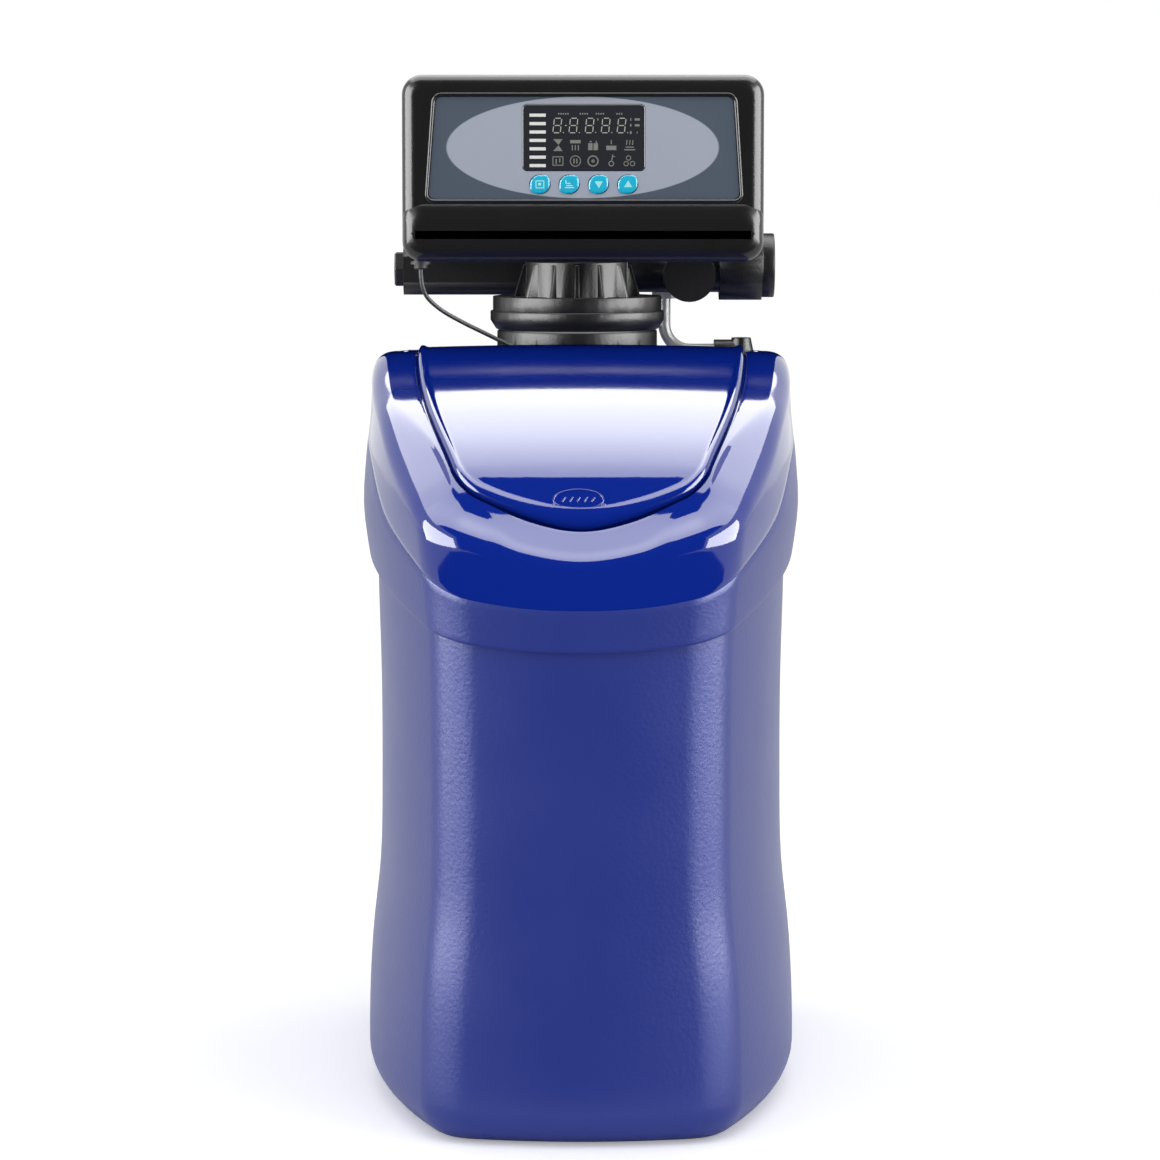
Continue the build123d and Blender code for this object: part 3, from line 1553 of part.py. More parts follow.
# Panel sheet, display window, display and circuit board
with BuildPart() as panel_sheet_piece:
    add(wall_piece(panel_back, panel_back - panel_sheet, panel_outline(panel_inset)))
    add(wall_piece(panel_back, chin_face, display_outline(key_gap)), mode=Mode.SUBTRACT)
    for x, z in key_places:
        add(wall_piece(panel_back, chin_face, key_outline(x, key_gap)), mode=Mode.SUBTRACT)
finish(panel_sheet_piece, "panel_sheet")

with BuildPart() as display_window:
    window_face = panel_back - window_proud
    add(wall_piece(shell_front_inside, window_face, display_outline(0)))
    chamfer(display_window.faces().sort_by(Axis.Y)[0].edges(), length=window_proud / 2)
    flange_back = shell_front_inside + window_flange
    add(wall_piece(flange_back, shell_front_inside, display_outline(window_lip)))
finish(display_window, "display_window")

with BuildPart() as display_module:
    add(wall_piece(board_face, flange_back, display_outline(0)))
finish(display_module, "display_module")

with BuildPart() as circuit_board:
    with BuildSketch(wall_plane(board_face + board_wall)):
        with Locations((box_x, box_middle)):
            Rectangle(2 * board_half_width, 2 * board_half_height)
        with Locations(*post_places):
            Circle(board_screw_radius + running_gap, mode=Mode.SUBTRACT)
    extrude(amount=board_wall)
    with BuildSketch(wall_plane(board_face)):
        with Locations(*key_places):
            Rectangle(2 * switch_half_width, 2 * switch_half_width)
    extrude(amount=board_face - switch_face)
finish(circuit_board, "circuit_board")

with BuildPart() as board_screws:
    head_face = board_face + board_wall
    add(wall_piece(head_face + board_head, head_face, spots(post_places, board_head_radius)))
    add(wall_piece(head_face, shell_front_inside + board_wall, spots(post_places, board_screw_radius)))
finish(board_screws, "board_screws")

# Keys: four raised caps, each with a flange behind the shell and a stem to its switch
for (x, z), name in zip(key_places, key_names):
    with BuildPart() as key:
        cap_face = panel_back - key_proud
        add(wall_piece(shell_front_inside + fit_gap, cap_face, key_outline(x, 0)))
        fillet(key.faces().sort_by(Axis.Y)[0].edges(), radius=key_flange)
        flange_face = shell_front_inside + fit_gap
        add(wall_piece(flange_face + key_flange, flange_face, spots([(x, z)], key_flange_radius)))
        add(wall_piece(key_stem_end, flange_face, spots([(x, z)], key_stem_radius)))
    finish(key, name)

# Bush and lead: the lead drops from the box, passes in front of the neck and ends in an
# in-line connector that lies on the deck
with BuildPart() as lead_bush:
    add(tall_ring(bush_x, bush_y, bush_foot, box_foot + box_wall, bush_radius))
    add(tall_ring(bush_x, bush_y, box_foot - bush_flange, box_foot, bush_flange_radius))
    chamfer(lead_bush.faces().sort_by(Axis.Z)[0].edges(), length=bush_flange / 2)
finish(lead_bush, "lead_bush")


def leg_radii(points):
    """The largest arc at each corner that both its runs allow."""
    radii = []
    for before, here, after in zip(points, points[1:], points[2:]):
        run_in = Vector(*here) - Vector(*before)
        run_out = Vector(*after) - Vector(*here)
        turn = math.radians(run_in.get_angle(run_out))
        shorter = min(run_in.length, run_out.length)
        radii.append(arc_share * shorter / math.tan(turn / 2))
    return radii


def soft_tube(points, radius, bore=0.0):
    """A round tube along straight runs joined by tangent arcs."""
    radii = leg_radii(points)
    with BuildPart() as tube:
        with BuildLine() as route:
            FilletPolyline(*points, radius=radii)
        with BuildSketch(Plane(origin=points[0], z_dir=route.line % 0)):
            Circle(radius)
            if bore:
                Circle(bore, mode=Mode.SUBTRACT)
        sweep()
    section = math.pi * (radius**2 - bore**2)
    length = sum(edge.length for edge in route.edges())
    expected = section * length
    print("radii", [round(r, 1) for r in radii], "length", round(length, 1),
          "volume ratio", round(tube.part.volume / expected, 4))
    return tube.part


lead_route = (
    (-80.5, 8.0, 405.0),
    (-80.5, 8.0, 394.0),
    (-72.0, 13.0, 385.0),
    (-60.0, 18.0, 378.0),
    (-47.0, 22.0, 371.5),
    (-24.0, 26.0, 360.0),
    (-4.0, 26.6, 354.9),
    (16.0, 26.0, 354.4),
    (36.0, 30.0, 354.3),
    (52.0, 40.0, 354.8),
    (62.0, 52.0, 357.7),
    (62.0, 62.0, 357.7),
)
with BuildPart() as power_lead:
    add(soft_tube(lead_route, lead_radius))
finish(power_lead, "power_lead")

connector_plane = Plane(origin=lead_route[-1], x_dir=(1, 0, 0), z_dir=(0, 1, 0))
with BuildPart() as lead_connector:
    with BuildSketch(connector_plane):
        Circle(connector_neck_radius)
    extrude(amount=connector_neck_length)
    with BuildSketch(connector_plane.offset(connector_neck_length)):
        Circle(connector_radius)
    extrude(amount=connector_length - connector_neck_length)
    chamfer(lead_connector.edges().filter_by(GeomType.CIRCLE).group_by(SortBy.RADIUS)[-1],
            length=connector_neck_radius / 3)
    with BuildSketch(connector_plane.offset(connector_length)):
        Circle(connector_bore_radius)
    extrude(amount=-connector_bore_length, mode=Mode.SUBTRACT)
finish(lead_connector, "lead_connector")

# Brine line: a nut under the valve, a tube to the deck elbow, a seal in the deck and a
# drop tube into the well
with BuildPart() as brine_nut:
    with BuildSketch(Plane.XY.offset(brine_boss_foot - brine_nut_length)):
        with Locations((brine_x, elbow_y)):
            hexagon(brine_nut_radius)
            Circle(tube_radius + running_gap, mode=Mode.SUBTRACT)
    extrude(amount=brine_nut_length)
finish(brine_nut, "brine_nut")

tube_bore = tube_radius - tube_wall
port_face = elbow_x - elbow_radius - elbow_port_length
brine_route = (
    (brine_x, elbow_y, brine_boss_foot),
    (brine_x, elbow_y, elbow_z),
    (port_face + elbow_port_length / 2, elbow_y, elbow_z),
)
with BuildPart() as brine_tube:
    add(soft_tube(brine_route, tube_radius, tube_bore))
finish(brine_tube, "brine_tube")

stem_foot = elbow_z - elbow_stem_length
with BuildPart() as deck_elbow:
    add(tall_ring(elbow_x, elbow_y, deck_top + seal_lip, elbow_z, elbow_radius))
    with BuildSketch(Plane.XY.offset(elbow_z)):
        with Locations((elbow_x, elbow_y)):
            Circle(elbow_radius)
    extrude(amount=elbow_radius, taper=elbow_crown_taper)
    with BuildSketch(Plane.YZ.offset(port_face)):
        with Locations((elbow_y, elbow_z)):
            Circle(elbow_radius - seal_wall / 2)
    extrude(amount=elbow_x - port_face)
    add(tall_ring(elbow_x, elbow_y, stem_foot, deck_top + seal_lip, elbow_stem_radius))
    add(tall_ring(elbow_x, elbow_y, stem_foot, elbow_z, tube_bore), mode=Mode.SUBTRACT)
    with BuildSketch(Plane.YZ.offset(port_face)):
        with Locations((elbow_y, elbow_z)):
            Circle(tube_radius + running_gap)
    extrude(amount=elbow_x + tube_radius - port_face, mode=Mode.SUBTRACT)
finish(deck_elbow, "deck_elbow")

with BuildPart() as deck_seal:
    seal_bore = elbow_stem_radius + running_gap
    seal_outer = elbow_stem_radius + seal_wall - running_gap
    add(tall_ring(elbow_x, elbow_y, deck_top - cabinet_wall, deck_top, seal_outer, seal_bore))
    add(tall_ring(elbow_x, elbow_y, deck_top, deck_top + seal_lip, elbow_radius, seal_bore))
finish(deck_seal, "deck_seal")

drop_route = (
    (elbow_x, elbow_y, stem_foot),
    (elbow_x, elbow_y, stem_foot - 4 * tube_radius),
    (elbow_x - tube_radius, vessel_y - 8 * tube_radius, drop_z),
    (well_x + 3 * tube_radius, well_y + 2 * well_radius, well_port_z + 4 * tube_radius),
    (well_x, well_y + well_radius + 5 * tube_radius, well_port_z),
    (well_x, well_y + valve_block_depth / 2, well_port_z),
)
with BuildPart() as drop_tube:
    add(soft_tube(drop_route, tube_radius, tube_bore))
finish(drop_tube, "drop_tube")
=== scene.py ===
import json
import math

import bmesh
import bpy
from mathutils import Matrix, Vector

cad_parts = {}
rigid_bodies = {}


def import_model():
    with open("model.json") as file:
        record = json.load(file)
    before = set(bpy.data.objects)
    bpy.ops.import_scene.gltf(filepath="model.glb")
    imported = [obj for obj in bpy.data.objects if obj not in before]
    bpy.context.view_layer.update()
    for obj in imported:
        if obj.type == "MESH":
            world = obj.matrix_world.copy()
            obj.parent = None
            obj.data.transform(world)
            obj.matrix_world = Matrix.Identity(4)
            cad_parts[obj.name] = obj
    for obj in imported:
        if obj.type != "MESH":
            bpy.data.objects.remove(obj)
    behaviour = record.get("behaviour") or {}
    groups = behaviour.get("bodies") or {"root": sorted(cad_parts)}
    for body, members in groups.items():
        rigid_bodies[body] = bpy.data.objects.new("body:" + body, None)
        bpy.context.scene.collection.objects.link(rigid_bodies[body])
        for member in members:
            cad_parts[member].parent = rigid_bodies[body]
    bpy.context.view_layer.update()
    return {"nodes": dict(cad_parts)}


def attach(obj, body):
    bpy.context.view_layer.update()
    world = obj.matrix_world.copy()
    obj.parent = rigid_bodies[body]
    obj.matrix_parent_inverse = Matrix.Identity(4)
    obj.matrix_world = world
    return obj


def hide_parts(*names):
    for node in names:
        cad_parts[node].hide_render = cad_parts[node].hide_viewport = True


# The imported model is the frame: metres, X right, Y back, Z up
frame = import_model()
nodes = frame["nodes"]
mm = 0.001

# Camera: a long lens a little above the control box's foot, tilted down
camera_tilt = 6.09


def put(name, data):
    """A new object in the scene."""
    item = bpy.data.objects.new(name, data)
    bpy.context.scene.collection.objects.link(item)
    return item


camera_data = bpy.data.cameras.new("camera")
camera_data.sensor_width = 36.0
camera_data.lens = 124.1
camera = put("camera", camera_data)
camera.location = (-0.0005, -2.007, 0.463)
camera.rotation_euler = (math.radians(90 - camera_tilt), 0, 0)
bpy.context.scene.camera = camera


# Power lead: a thin dark cord from the bush under the control box, down in front of the
# neck to an in-line connector on the deck. Soft PVC, extruded, held only at its two ends
def linear(code):
    """A hex sRGB colour as linear red, green, blue and alpha."""
    channels = [int(code[i:i + 2], 16) / 255 for i in (1, 3, 5)]
    curve = [c / 12.92 if c <= 0.04045 else ((c + 0.055) / 1.055) ** 2.4 for c in channels]
    return (*curve, 1.0)


def add_node(tree, kind, inputs=(), **settings):
    """One shader node. Inputs pair a socket with a value or with another node's output."""
    item = tree.nodes.new("ShaderNode" + kind)
    for name, value in settings.items():
        setattr(item, name, value)
    for socket, value in inputs:
        if isinstance(value, bpy.types.NodeSocket):
            tree.links.new(value, item.inputs[socket])
        else:
            item.inputs[socket].default_value = value
    return item


drift_width = 45.0


def moulded(name, colour, roughness, grain=1.1, depth=0.02, spread=0.05, shade=0.04,
            metallic=0.0, ior=1.5, extra=()):
    """A plain finish. Its grain, in mm, is in the bump, and its gloss and tone drift.
    Extra pairs set more of the shader's sockets."""
    material = bpy.data.materials.new(name)
    material.use_nodes = True
    tree = material.node_tree
    shader = tree.nodes["Principled BSDF"]
    place = add_node(tree, "TexCoord").outputs["Object"]
    drift = add_node(tree, "TexNoise", (
        ("Vector", place), ("Scale", 1 / (drift_width * mm)), ("Detail", 3.0)))
    fine = add_node(tree, "TexNoise", (
        ("Vector", place), ("Scale", 1 / (grain * mm)), ("Detail", 2.0)))
    gloss = add_node(tree, "MapRange", (
        ("Value", drift.outputs[0]),
        ("To Min", max(roughness - spread, 0.02)), ("To Max", roughness + spread)))
    base = linear(colour)
    tone = add_node(tree, "MixRGB", (
        (0, drift.outputs[0]),
        (1, (*(c * (1 - shade) for c in base[:3]), 1.0)),
        (2, (*(c * (1 + shade) for c in base[:3]), 1.0))))
    bump = add_node(tree, "Bump", (
        ("Height", fine.outputs[0]), ("Strength", depth), ("Distance", mm)))
    tree.links.new(tone.outputs[0], shader.inputs["Base Color"])
    tree.links.new(gloss.outputs[0], shader.inputs["Roughness"])
    tree.links.new(bump.outputs[0], shader.inputs["Normal"])
    shader.inputs["Metallic"].default_value = metallic
    if not metallic:
        shader.inputs["IOR"].default_value = ior
    for socket, value in extra:
        shader.inputs[socket].default_value = value
    return material


def wire(name, material, radius, lines, rings, steps, loop=None):
    """Round tubes along lines of points in mm, of which one may be a closed loop."""
    curve = bpy.data.curves.new(name, "CURVE")
    curve.dimensions = "3D"
    curve.bevel_depth = radius * mm
    curve.bevel_resolution = rings
    curve.resolution_u = steps
    curve.use_fill_caps = True
    for points in lines:
        line = curve.splines.new("NURBS")
        line.points.add(len(points) - 1)
        for spot, place in zip(line.points, points):
            spot.co = (*(c * mm for c in place), 1.0)
        line.order_u = min(3, len(points))
        line.use_cyclic_u = points is loop
        line.use_endpoint_u = points is not loop
    curve.materials.append(material)
    return put(name, curve)


def dress(material, *names):
    """Give CAD nodes their finish."""
    for name in names:
        data = nodes[name].data
        for i in range(len(data.materials)):
            data.materials[i] = material
        if not data.materials:
            data.materials.append(material)


# Extruded PVC: a dull skin with a faint orange peel
soft_pvc = moulded("soft_pvc", "#2b2b2c", 0.45, grain=0.7, depth=0.05)
lead_route = (
    (-80.5, 8.0, 405.0), (-80.5, 8.0, 394.0), (-72.0, 13.0, 385.0), (-60.0, 18.0, 378.0),
    (-47.0, 22.0, 371.5), (-24.0, 26.0, 360.0), (-4.0, 26.6, 354.9), (16.0, 26.0, 354.4),
    (36.0, 30.0, 354.3), (52.0, 40.0, 354.8), (62.0, 52.0, 357.7), (62.0, 62.0, 357.7),
)
lead = wire("lead", soft_pvc, 1.1, [lead_route], rings=4, steps=16)
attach(lead, "cabinet")
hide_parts("power_lead")
# Moulded nylon: a little glossier than the cord
dress(moulded("connector_nylon", "#202021", 0.4, grain=0.9, depth=0.05), "lead_connector")

# Cabinet body: one blow-moulded polyethylene tub in satin blue, waisted above a recessed
# foot, with a flared collar that the cover sits on
half_width = 108.7
front_reach = 182.0
back_reach = 167.0
bow_radius = 230.0
side_radius = 400.0
corner_radius = 32.0
rear_radius = 45.0
cover_top = 365.0
base_radius = 19.0
wall = 3.0
inner_foot = 22.0
mouth_depth = 5.0
mouth_round = 1.0
collar_gap = 0.6
collar_rise = 1.5
back_share = 0.3
least_corner = 6.0
# Height, half width and front reach as shares of the full ones
tub_shares = (
    (0.0, 0.985, 0.984), (0.10, 0.985, 0.984), (0.20, 0.968, 0.978), (0.31, 0.930, 0.966),
    (0.43, 0.922, 0.962), (0.56, 0.923, 0.962), (0.69, 0.934, 0.968), (0.82, 0.940, 0.972),
    (0.98, 0.942, 0.973), (1.05, 0.942, 0.973),
)
flare_shares = (
    (0.55, 0.936, 0.973), (0.62, 0.941, 0.977), (0.70, 0.962, 0.987), (0.79, 1.0, 1.0),
    (0.86, 0.988, 0.996), (0.93, 0.964, 0.985), (1.03, 0.962, 0.982),
)
# Depth and height of the collar's lower line and of the cover's seam, seen from the side
collar_line = ((-200, 230), (-182, 232.1), (-165, 239.8), (-113, 251.5), (-10, 266.8),
               (167, 285.1), (200, 286.5))
seam_line = ((-200, 248.2), (-182, 252.6), (-172, 259.9), (-158, 269), (-113, 289.1),
             (-65, 313.2), (-5, 325.9), (60, 340.2), (167, 346), (200, 346.4))
# Height and inset of the rows at the foot and inside it
foot_rows = ((2.0, 27.0), (1.6, 26.0), (0.0, 25.2))
floor_rows = ((11.0, 7.0), (6.0, 19.0))
# Rise over the collar's line, drop under the seam, and inset, of the rows that round them
collar_rows = ((0.0, 1.0), (0.25, 0.35), (0.8, 0.05), (collar_rise, 0.0))
mouth_rows = ((0.3, 0.25), (0.0, 1.0), (0.0, 5.2))
# Where the points round half a row lie: shares of each arc, and Y along the straight flank
flank_places = (0.0, 4.5, 8.9, 10.2, 13.0, 17.0, 22.0, 40.0, 60.0, 80.0, 97.0)
front_stations = [("bow", i / 24) for i in range(24)] + [("corner", i / 20) for i in range(20)]
stations = (front_stations + [("side", i / 28) for i in range(28)]
            + [("flank", y) for y in flank_places]
            + [("rear", i / 18) for i in range(18)] + [("back", i / 8) for i in range(9)])


def hermite(a, leave, b, arrive, t):
    """A cubic from a to b with those slopes at its ends."""
    return (a * (1 + 2 * t) * (1 - t) ** 2 + leave * t * (1 - t) ** 2
            + b * t * t * (3 - 2 * t) - arrive * t * t * (1 - t))


def between(table, x):
    """The other columns of a table where its first is x, along smooth curves."""
    keys = [row[0] for row in table]
    if x <= keys[0]:
        return table[0][1:]
    if x >= keys[-1]:
        return table[-1][1:]
    k = max(i for i in range(len(keys) - 1) if keys[i] <= x)
    span = keys[k + 1] - keys[k]
    t = (x - keys[k]) / span

    def slope(i, column):
        low, high = max(i - 1, 0), min(i + 1, len(keys) - 1)
        return (table[high][column] - table[low][column]) / (keys[high] - keys[low])

    return [hermite(table[k][c], slope(k, c) * span, table[k + 1][c], slope(k + 1, c) * span, t)
            for c in range(1, len(table[0]))]


def on_arc(x, y, radius, start, end, t):
    """A point on an arc, at share t of the way from one angle to the other."""
    turn = start + (end - start) * t
    return x + radius * math.cos(turn), y + radius * math.sin(turn)


def u_place(part, t, w, f, bow, side, side_y, corner, level=0.0):
    """A point of a U with that half width and front reach: on the bow across its front, on
    the side, whose middle is at side_y, up to the angle level, or on the corner between."""
    bow_y, side_x = bow - f, w - side
    spread = math.hypot(side_x, bow_y - side_y)
    along = (spread**2 + (bow - corner)**2 - (side - corner)**2) / (2 * spread)
    off = math.sqrt((bow - corner)**2 - along**2)
    ux, uy = side_x / spread, (side_y - bow_y) / spread
    x, y = along * ux - off * uy, bow_y + along * uy + off * ux
    bow_end, side_start = math.atan2(y - bow_y, x), math.atan2(y - side_y, x - side_x)
    if part == "bow":
        return on_arc(0, bow_y, bow, -math.pi / 2, bow_end, t)
    if part == "corner":
        return on_arc(x, y, corner, bow_end, side_start, t)
    return on_arc(side_x, side_y, side, side_start, level, t)


def plan_place(part, t, w, f, b, corner):
    """A point of the cabinet's plan with that half width, front and back reach."""
    rear = max(rear_radius - (half_width - w), corner)
    if part in ("bow", "corner", "side"):
        return u_place(part, t, w, f, bow_radius, side_radius, 0, corner)
    if part == "flank":
        return w, t
    if part == "rear":
        return on_arc(w - rear, b - rear, rear, 0, math.pi / 2, t)
    return (w - rear) * (1 - t), b


def outer_place(part, t, shares, z, inset=0.0):
    """A point of the cabinet's outside at that height, drawn inwards by inset."""
    w, f = between(shares, z / cover_top)
    b = 1 - back_share * (1 - f)
    return plan_place(part, t, half_width * w - inset, front_reach * f - inset,
                      back_reach * b - inset, max(corner_radius - inset, least_corner))


def both_sides(half):
    """A closed row from its right half."""
    return half + [(-x, y, z) for x, y, z in reversed(half[1:-1])]


def cabinet_row(shares, height, inset=0.0):
    """A closed row of points round the cabinet. Height is a number, or depends on x and y."""
    half = []
    for part, t in stations:
        # Height and place depend on each other, so they are found in a few rounds
        x, y = half_width / 2, -front_reach / 2
        for _ in range(5 if callable(height) else 1):
            z = height(x, y) if callable(height) else height
            x, y = outer_place(part, t, shares, z, inset)
        half.append((x, y, z))
    return both_sides(half)


def start_row(build, places, closed=True):
    """A first row of vertices joined by edges."""
    row = [build.verts.new(place) for place in places]
    for pair in zip(row, row[1:]):
        build.edges.new(pair)
    if closed:
        build.edges.new((row[-1], row[0]))
    return row


def carry(build, row, places, closed=True):
    """Extrude a row of vertices to new places. Returns the new row."""
    pairs = list(zip(row, row[1:]))
    if closed:
        pairs.append((row[-1], row[0]))
    made = bmesh.ops.extrude_edge_only(build, edges=[build.edges.get(p) for p in pairs])
    fresh = {v for v in made["geom"] if isinstance(v, bmesh.types.BMVert)}
    new = [next(e.other_vert(v) for e in v.link_edges if e.other_vert(v) in fresh) for v in row]
    for vert, place in zip(new, places):
        vert.co = place
    return new


def loft(build, rows, closed=True, capped=True):
    """A skin through rows of points, with a face on the first and the last row if capped."""
    row = start_row(build, rows[0], closed)
    if capped:
        build.faces.new(row)
    for places in rows[1:]:
        row = carry(build, row, places, closed)
    if capped:
        build.faces.new(row)


def quarter(steps):
    """Points along a quarter round, from (0, 1) to (1, 0)."""
    turns = [math.pi / 2 * i / steps for i in range(steps + 1)]
    return [(1 - math.cos(turn), 1 - math.sin(turn)) for turn in turns]


def settle(build, name, material, sharp=35.0, outward=True):
    """Turn a bmesh in millimetres into an object in metres at the origin."""
    bmesh.ops.remove_doubles(build, verts=build.verts, dist=0.004)
    if outward:
        bmesh.ops.recalc_face_normals(build, faces=build.faces)
    bmesh.ops.scale(build, vec=(mm, mm, mm), verts=build.verts)
    mesh = bpy.data.meshes.new(name)
    build.to_mesh(mesh)
    build.free()
    mesh.materials.append(material)
    mesh.shade_smooth()
    mesh.set_sharp_from_angle(angle=math.radians(sharp))
    return put(name, mesh)


def collar(x, y):
    """Height of the collar's lower line."""
    return between(collar_line, y)[0]


def seam(x, y):
    """Height of the seam between the cabinet and its cover."""
    return between(seam_line, y)[0]


# Blow-moulded polyethylene: a satin skin, faintly rippled where it cooled on the mould
satin_blue = moulded("blow_moulded_polyethylene", "#1a3190", 0.33, grain=2.0, depth=0.10,
                     spread=0.04)
tub = bmesh.new()
rows = [cabinet_row(tub_shares, z, inset) for z, inset in foot_rows]
for rise, inset in quarter(9):
    rows.append(cabinet_row(tub_shares, base_radius * rise, base_radius * inset))
for i in range(1, 25):
    rows.append(cabinet_row(tub_shares, lambda x, y, t=i / 24: (
        base_radius + (collar(x, y) - collar_gap - base_radius) * t)))
for shift, inset in collar_rows:
    rows.append(cabinet_row(flare_shares, lambda x, y, s=shift: collar(x, y) + s, inset))
for i in range(1, 8):
    rows.append(cabinet_row(flare_shares, lambda x, y, t=i / 7: (
        collar(x, y) + collar_rise
        + (seam(x, y) - mouth_round - collar_rise - collar(x, y)) * t)))
for shift, inset in mouth_rows:
    rows.append(cabinet_row(flare_shares, lambda x, y, s=shift: seam(x, y) - s, inset))
for i in range(10):
    rows.append(cabinet_row(tub_shares, lambda x, y, t=i / 9: (
        (seam(x, y) - mouth_depth) * (1 - t) + inner_foot * t), wall))
rows += [cabinet_row(tub_shares, z, inset) for z, inset in floor_rows]
loft(tub, rows)
cabinet = settle(tub, "cabinet_shell", satin_blue)
dress(satin_blue, "cabinet_body")
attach(cabinet, "cabinet")
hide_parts("cabinet_body")

# Cabinet cover: an injection-moulded ABS shell in high gloss blue. Its top is rolled at
# the edges and drops to a nose under the lid, with a seat for the lid and a sunk deck
lid_rear = 13.0
lid_half_width = 82.0
lid_reach = 162.0
lid_bow = 150.0
lid_side = 560.0
lid_corner = 20.0
lid_gap = 1.0
lid_proud = 2.0
lid_line = ((13.0, 367.0), (-47.0, 353.0), (-107.0, 334.0), (-142.0, 318.0), (-155.0, 304.0),
            (-162.0, 290.0))
lid_ends = ((-1.0, 0.0), (-0.25, -1.0))
tip_slope = 3.0
crown_drop = 1.3
# The seat that the lid lies on: how far it reaches in, its wall, its drop under the lid and
# how far it is sunk in the cover
ledge_width = 8.0
ledge_wall = 2.4
ledge_drop = 2.9
ledge_bite = 0.5
# The rolled top edge: its radius, the share of the cover's top that it takes at the front
# corners, and the share of a radius that makes a cubic curve round
edge_roll = 9.0
corner_share = 0.92
handle = 0.55
# How the rounding comes in along the bow and fades along the side, in shares of each
shoulder_start, shoulder_run = 0.5, 0.4
shoulder_full, shoulder_fade = 1.09, 0.55
# The land between the rolled edge and the rim: the share of it that gives its slope at the
# edge, how steeply the roll meets it at the front corners, and where its rows lie
land_start = 0.15
roll_tilt = 1.3
land_shares = (0.2, 0.4, 0.6, 0.8, 0.93)
# Under the rim: the most of the margin that its wall takes, and how far that wall rises
under_share = 0.6
least_rise, most_rise = 0.5, 8.0
# Heights at which the wall's plan is taken for the top and for the seam
top_level, seam_level = 320.0, 300.0
nose_dip, nose_dip_width = 7.5, 38.0
nose_dip_start, nose_dip_run = -145.0, 15.0
# Height and inset of the rows at the wall's hem, and growth and drop of those at the rim
hem_rows = ((0.0, 0.8), (0.2, 0.25))
hem_height = 0.8
rim_rows = ((0.5, 0.12), (0.15, 0.45), (0.0, 1.0))
seam_gap = 0.4
deck_half_width = 92.0
deck_front = 8.0
deck_back = 156.0
deck_corner = 14.0
deck_top = 353.0
# Y where the lid's side ends and where the deck's rear part starts, and the share of that
# part which is straight
side_end, rear_start, straight_share = 9.0, 105.0, 0.3


def lid_side_view():
    """The lid's top line from its rear to its tip, as points close together."""
    spans = [math.dist(a, b) for a, b in zip(lid_line, lid_line[1:])]
    slopes = []
    for i in range(len(lid_line)):
        low, high = max(i - 1, 0), min(i + 1, len(lid_line) - 1)
        run = sum(spans[low:high])
        slopes.append([(lid_line[high][c] - lid_line[low][c]) / run for c in (0, 1)])
    for i, end in ((0, lid_ends[0]), (-1, lid_ends[1])):
        slopes[i] = [c / math.hypot(*end) for c in end]
    points = []
    for k, span in enumerate(spans):
        for i in range(30):
            points.append(tuple(
                hermite(lid_line[k][c], span * slopes[k][c], lid_line[k + 1][c],
                        span * slopes[k + 1][c], i / 30) for c in (0, 1)))
    return points + [lid_line[-1]]


lid_points = lid_side_view()


def lid_top(y):
    """Height of the lid's top line."""
    if y >= lid_points[0][0]:
        return lid_points[0][1]
    for a, b in zip(lid_points, lid_points[1:]):
        if b[0] <= y:
            return a[1] + (b[1] - a[1]) * (a[0] - y) / (a[0] - b[0])
    return lid_points[-1][1] + (y - lid_points[-1][0]) * tip_slope


def crown(x):
    """How far the cover's and the lid's top fall away towards the sides."""
    return crown_drop * (x / lid_half_width) ** 2


def rim_place(part, t, grow=0.0):
    """A point of the opening round the lid and the deck, drawn outwards by grow."""
    w = lid_half_width + lid_gap + grow
    turn_x, turn_y = deck_half_width - deck_corner, deck_front + deck_corner
    bend = deck_corner + grow
    if part in ("bow", "corner", "side"):
        return u_place(part, t, w, lid_reach + lid_gap + grow, lid_bow, lid_side, lid_rear,
                       lid_corner, math.asin(-lid_rear / lid_side))
    if part == "flank":
        if t < side_end:
            return w - lid_side + math.sqrt(lid_side**2 - (t - lid_rear) ** 2), t
        if t < turn_y:
            return turn_x + math.sqrt(bend**2 - (turn_y - t) ** 2), t
        return turn_x + bend, t
    if part == "rear":
        turn_y = deck_back - deck_corner
        if t < straight_share:
            return turn_x + bend, rear_start + (turn_y - rear_start) * t / straight_share
        return on_arc(turn_x, turn_y, bend, 0, math.pi / 2,
                      (t - straight_share) / (1 - straight_share))
    return turn_x * (1 - t), deck_back + grow


nose_line = ((-195.0, 262.0), (-188.0, 271.0), (-182.0, 279.0), (-175.0, 286.5),
             (-163.0, 297.0), (-152.0, 308.0), (-142.0, 316.0),
             *((y, lid_top(y) - lid_proud) for y in (-125.0, -107.0, -77.0, -47.0, -20.0, 0.0)),
             (13.0, 365.0), (40.0, 364.2), (100.0, 361.6), (150.0, 359.4), (200.0, 357.2))


def smooth(share):
    """A share, held between 0 and 1 and eased at both ends."""
    share = min(max(share, 0.0), 1.0)
    return share * share * (3 - 2 * share)


def land(x, y):
    """Height of the cover's top, with a shallow dip in the nose under the lid's tip."""
    forward = smooth((nose_dip_start - y) / nose_dip_run)
    dip = nose_dip * math.exp(-(x / nose_dip_width) ** 2) * forward
    return between(nose_line, y)[0] - crown(x) - dip


def shoulder(part, t):
    """How far the cover is rounded off: not along the sides, wholly at the front corners."""
    shares = {"bow": (t - shoulder_start) / shoulder_run, "corner": 1.0,
              "side": shoulder_full - t / shoulder_fade}
    return smooth(shares.get(part, 0.0))


def wall_place(part, t, z, inset=0.0):
    """A point of the cover's wall at that height."""
    return Vector((*outer_place(part, t, flare_shares, z, inset), z))


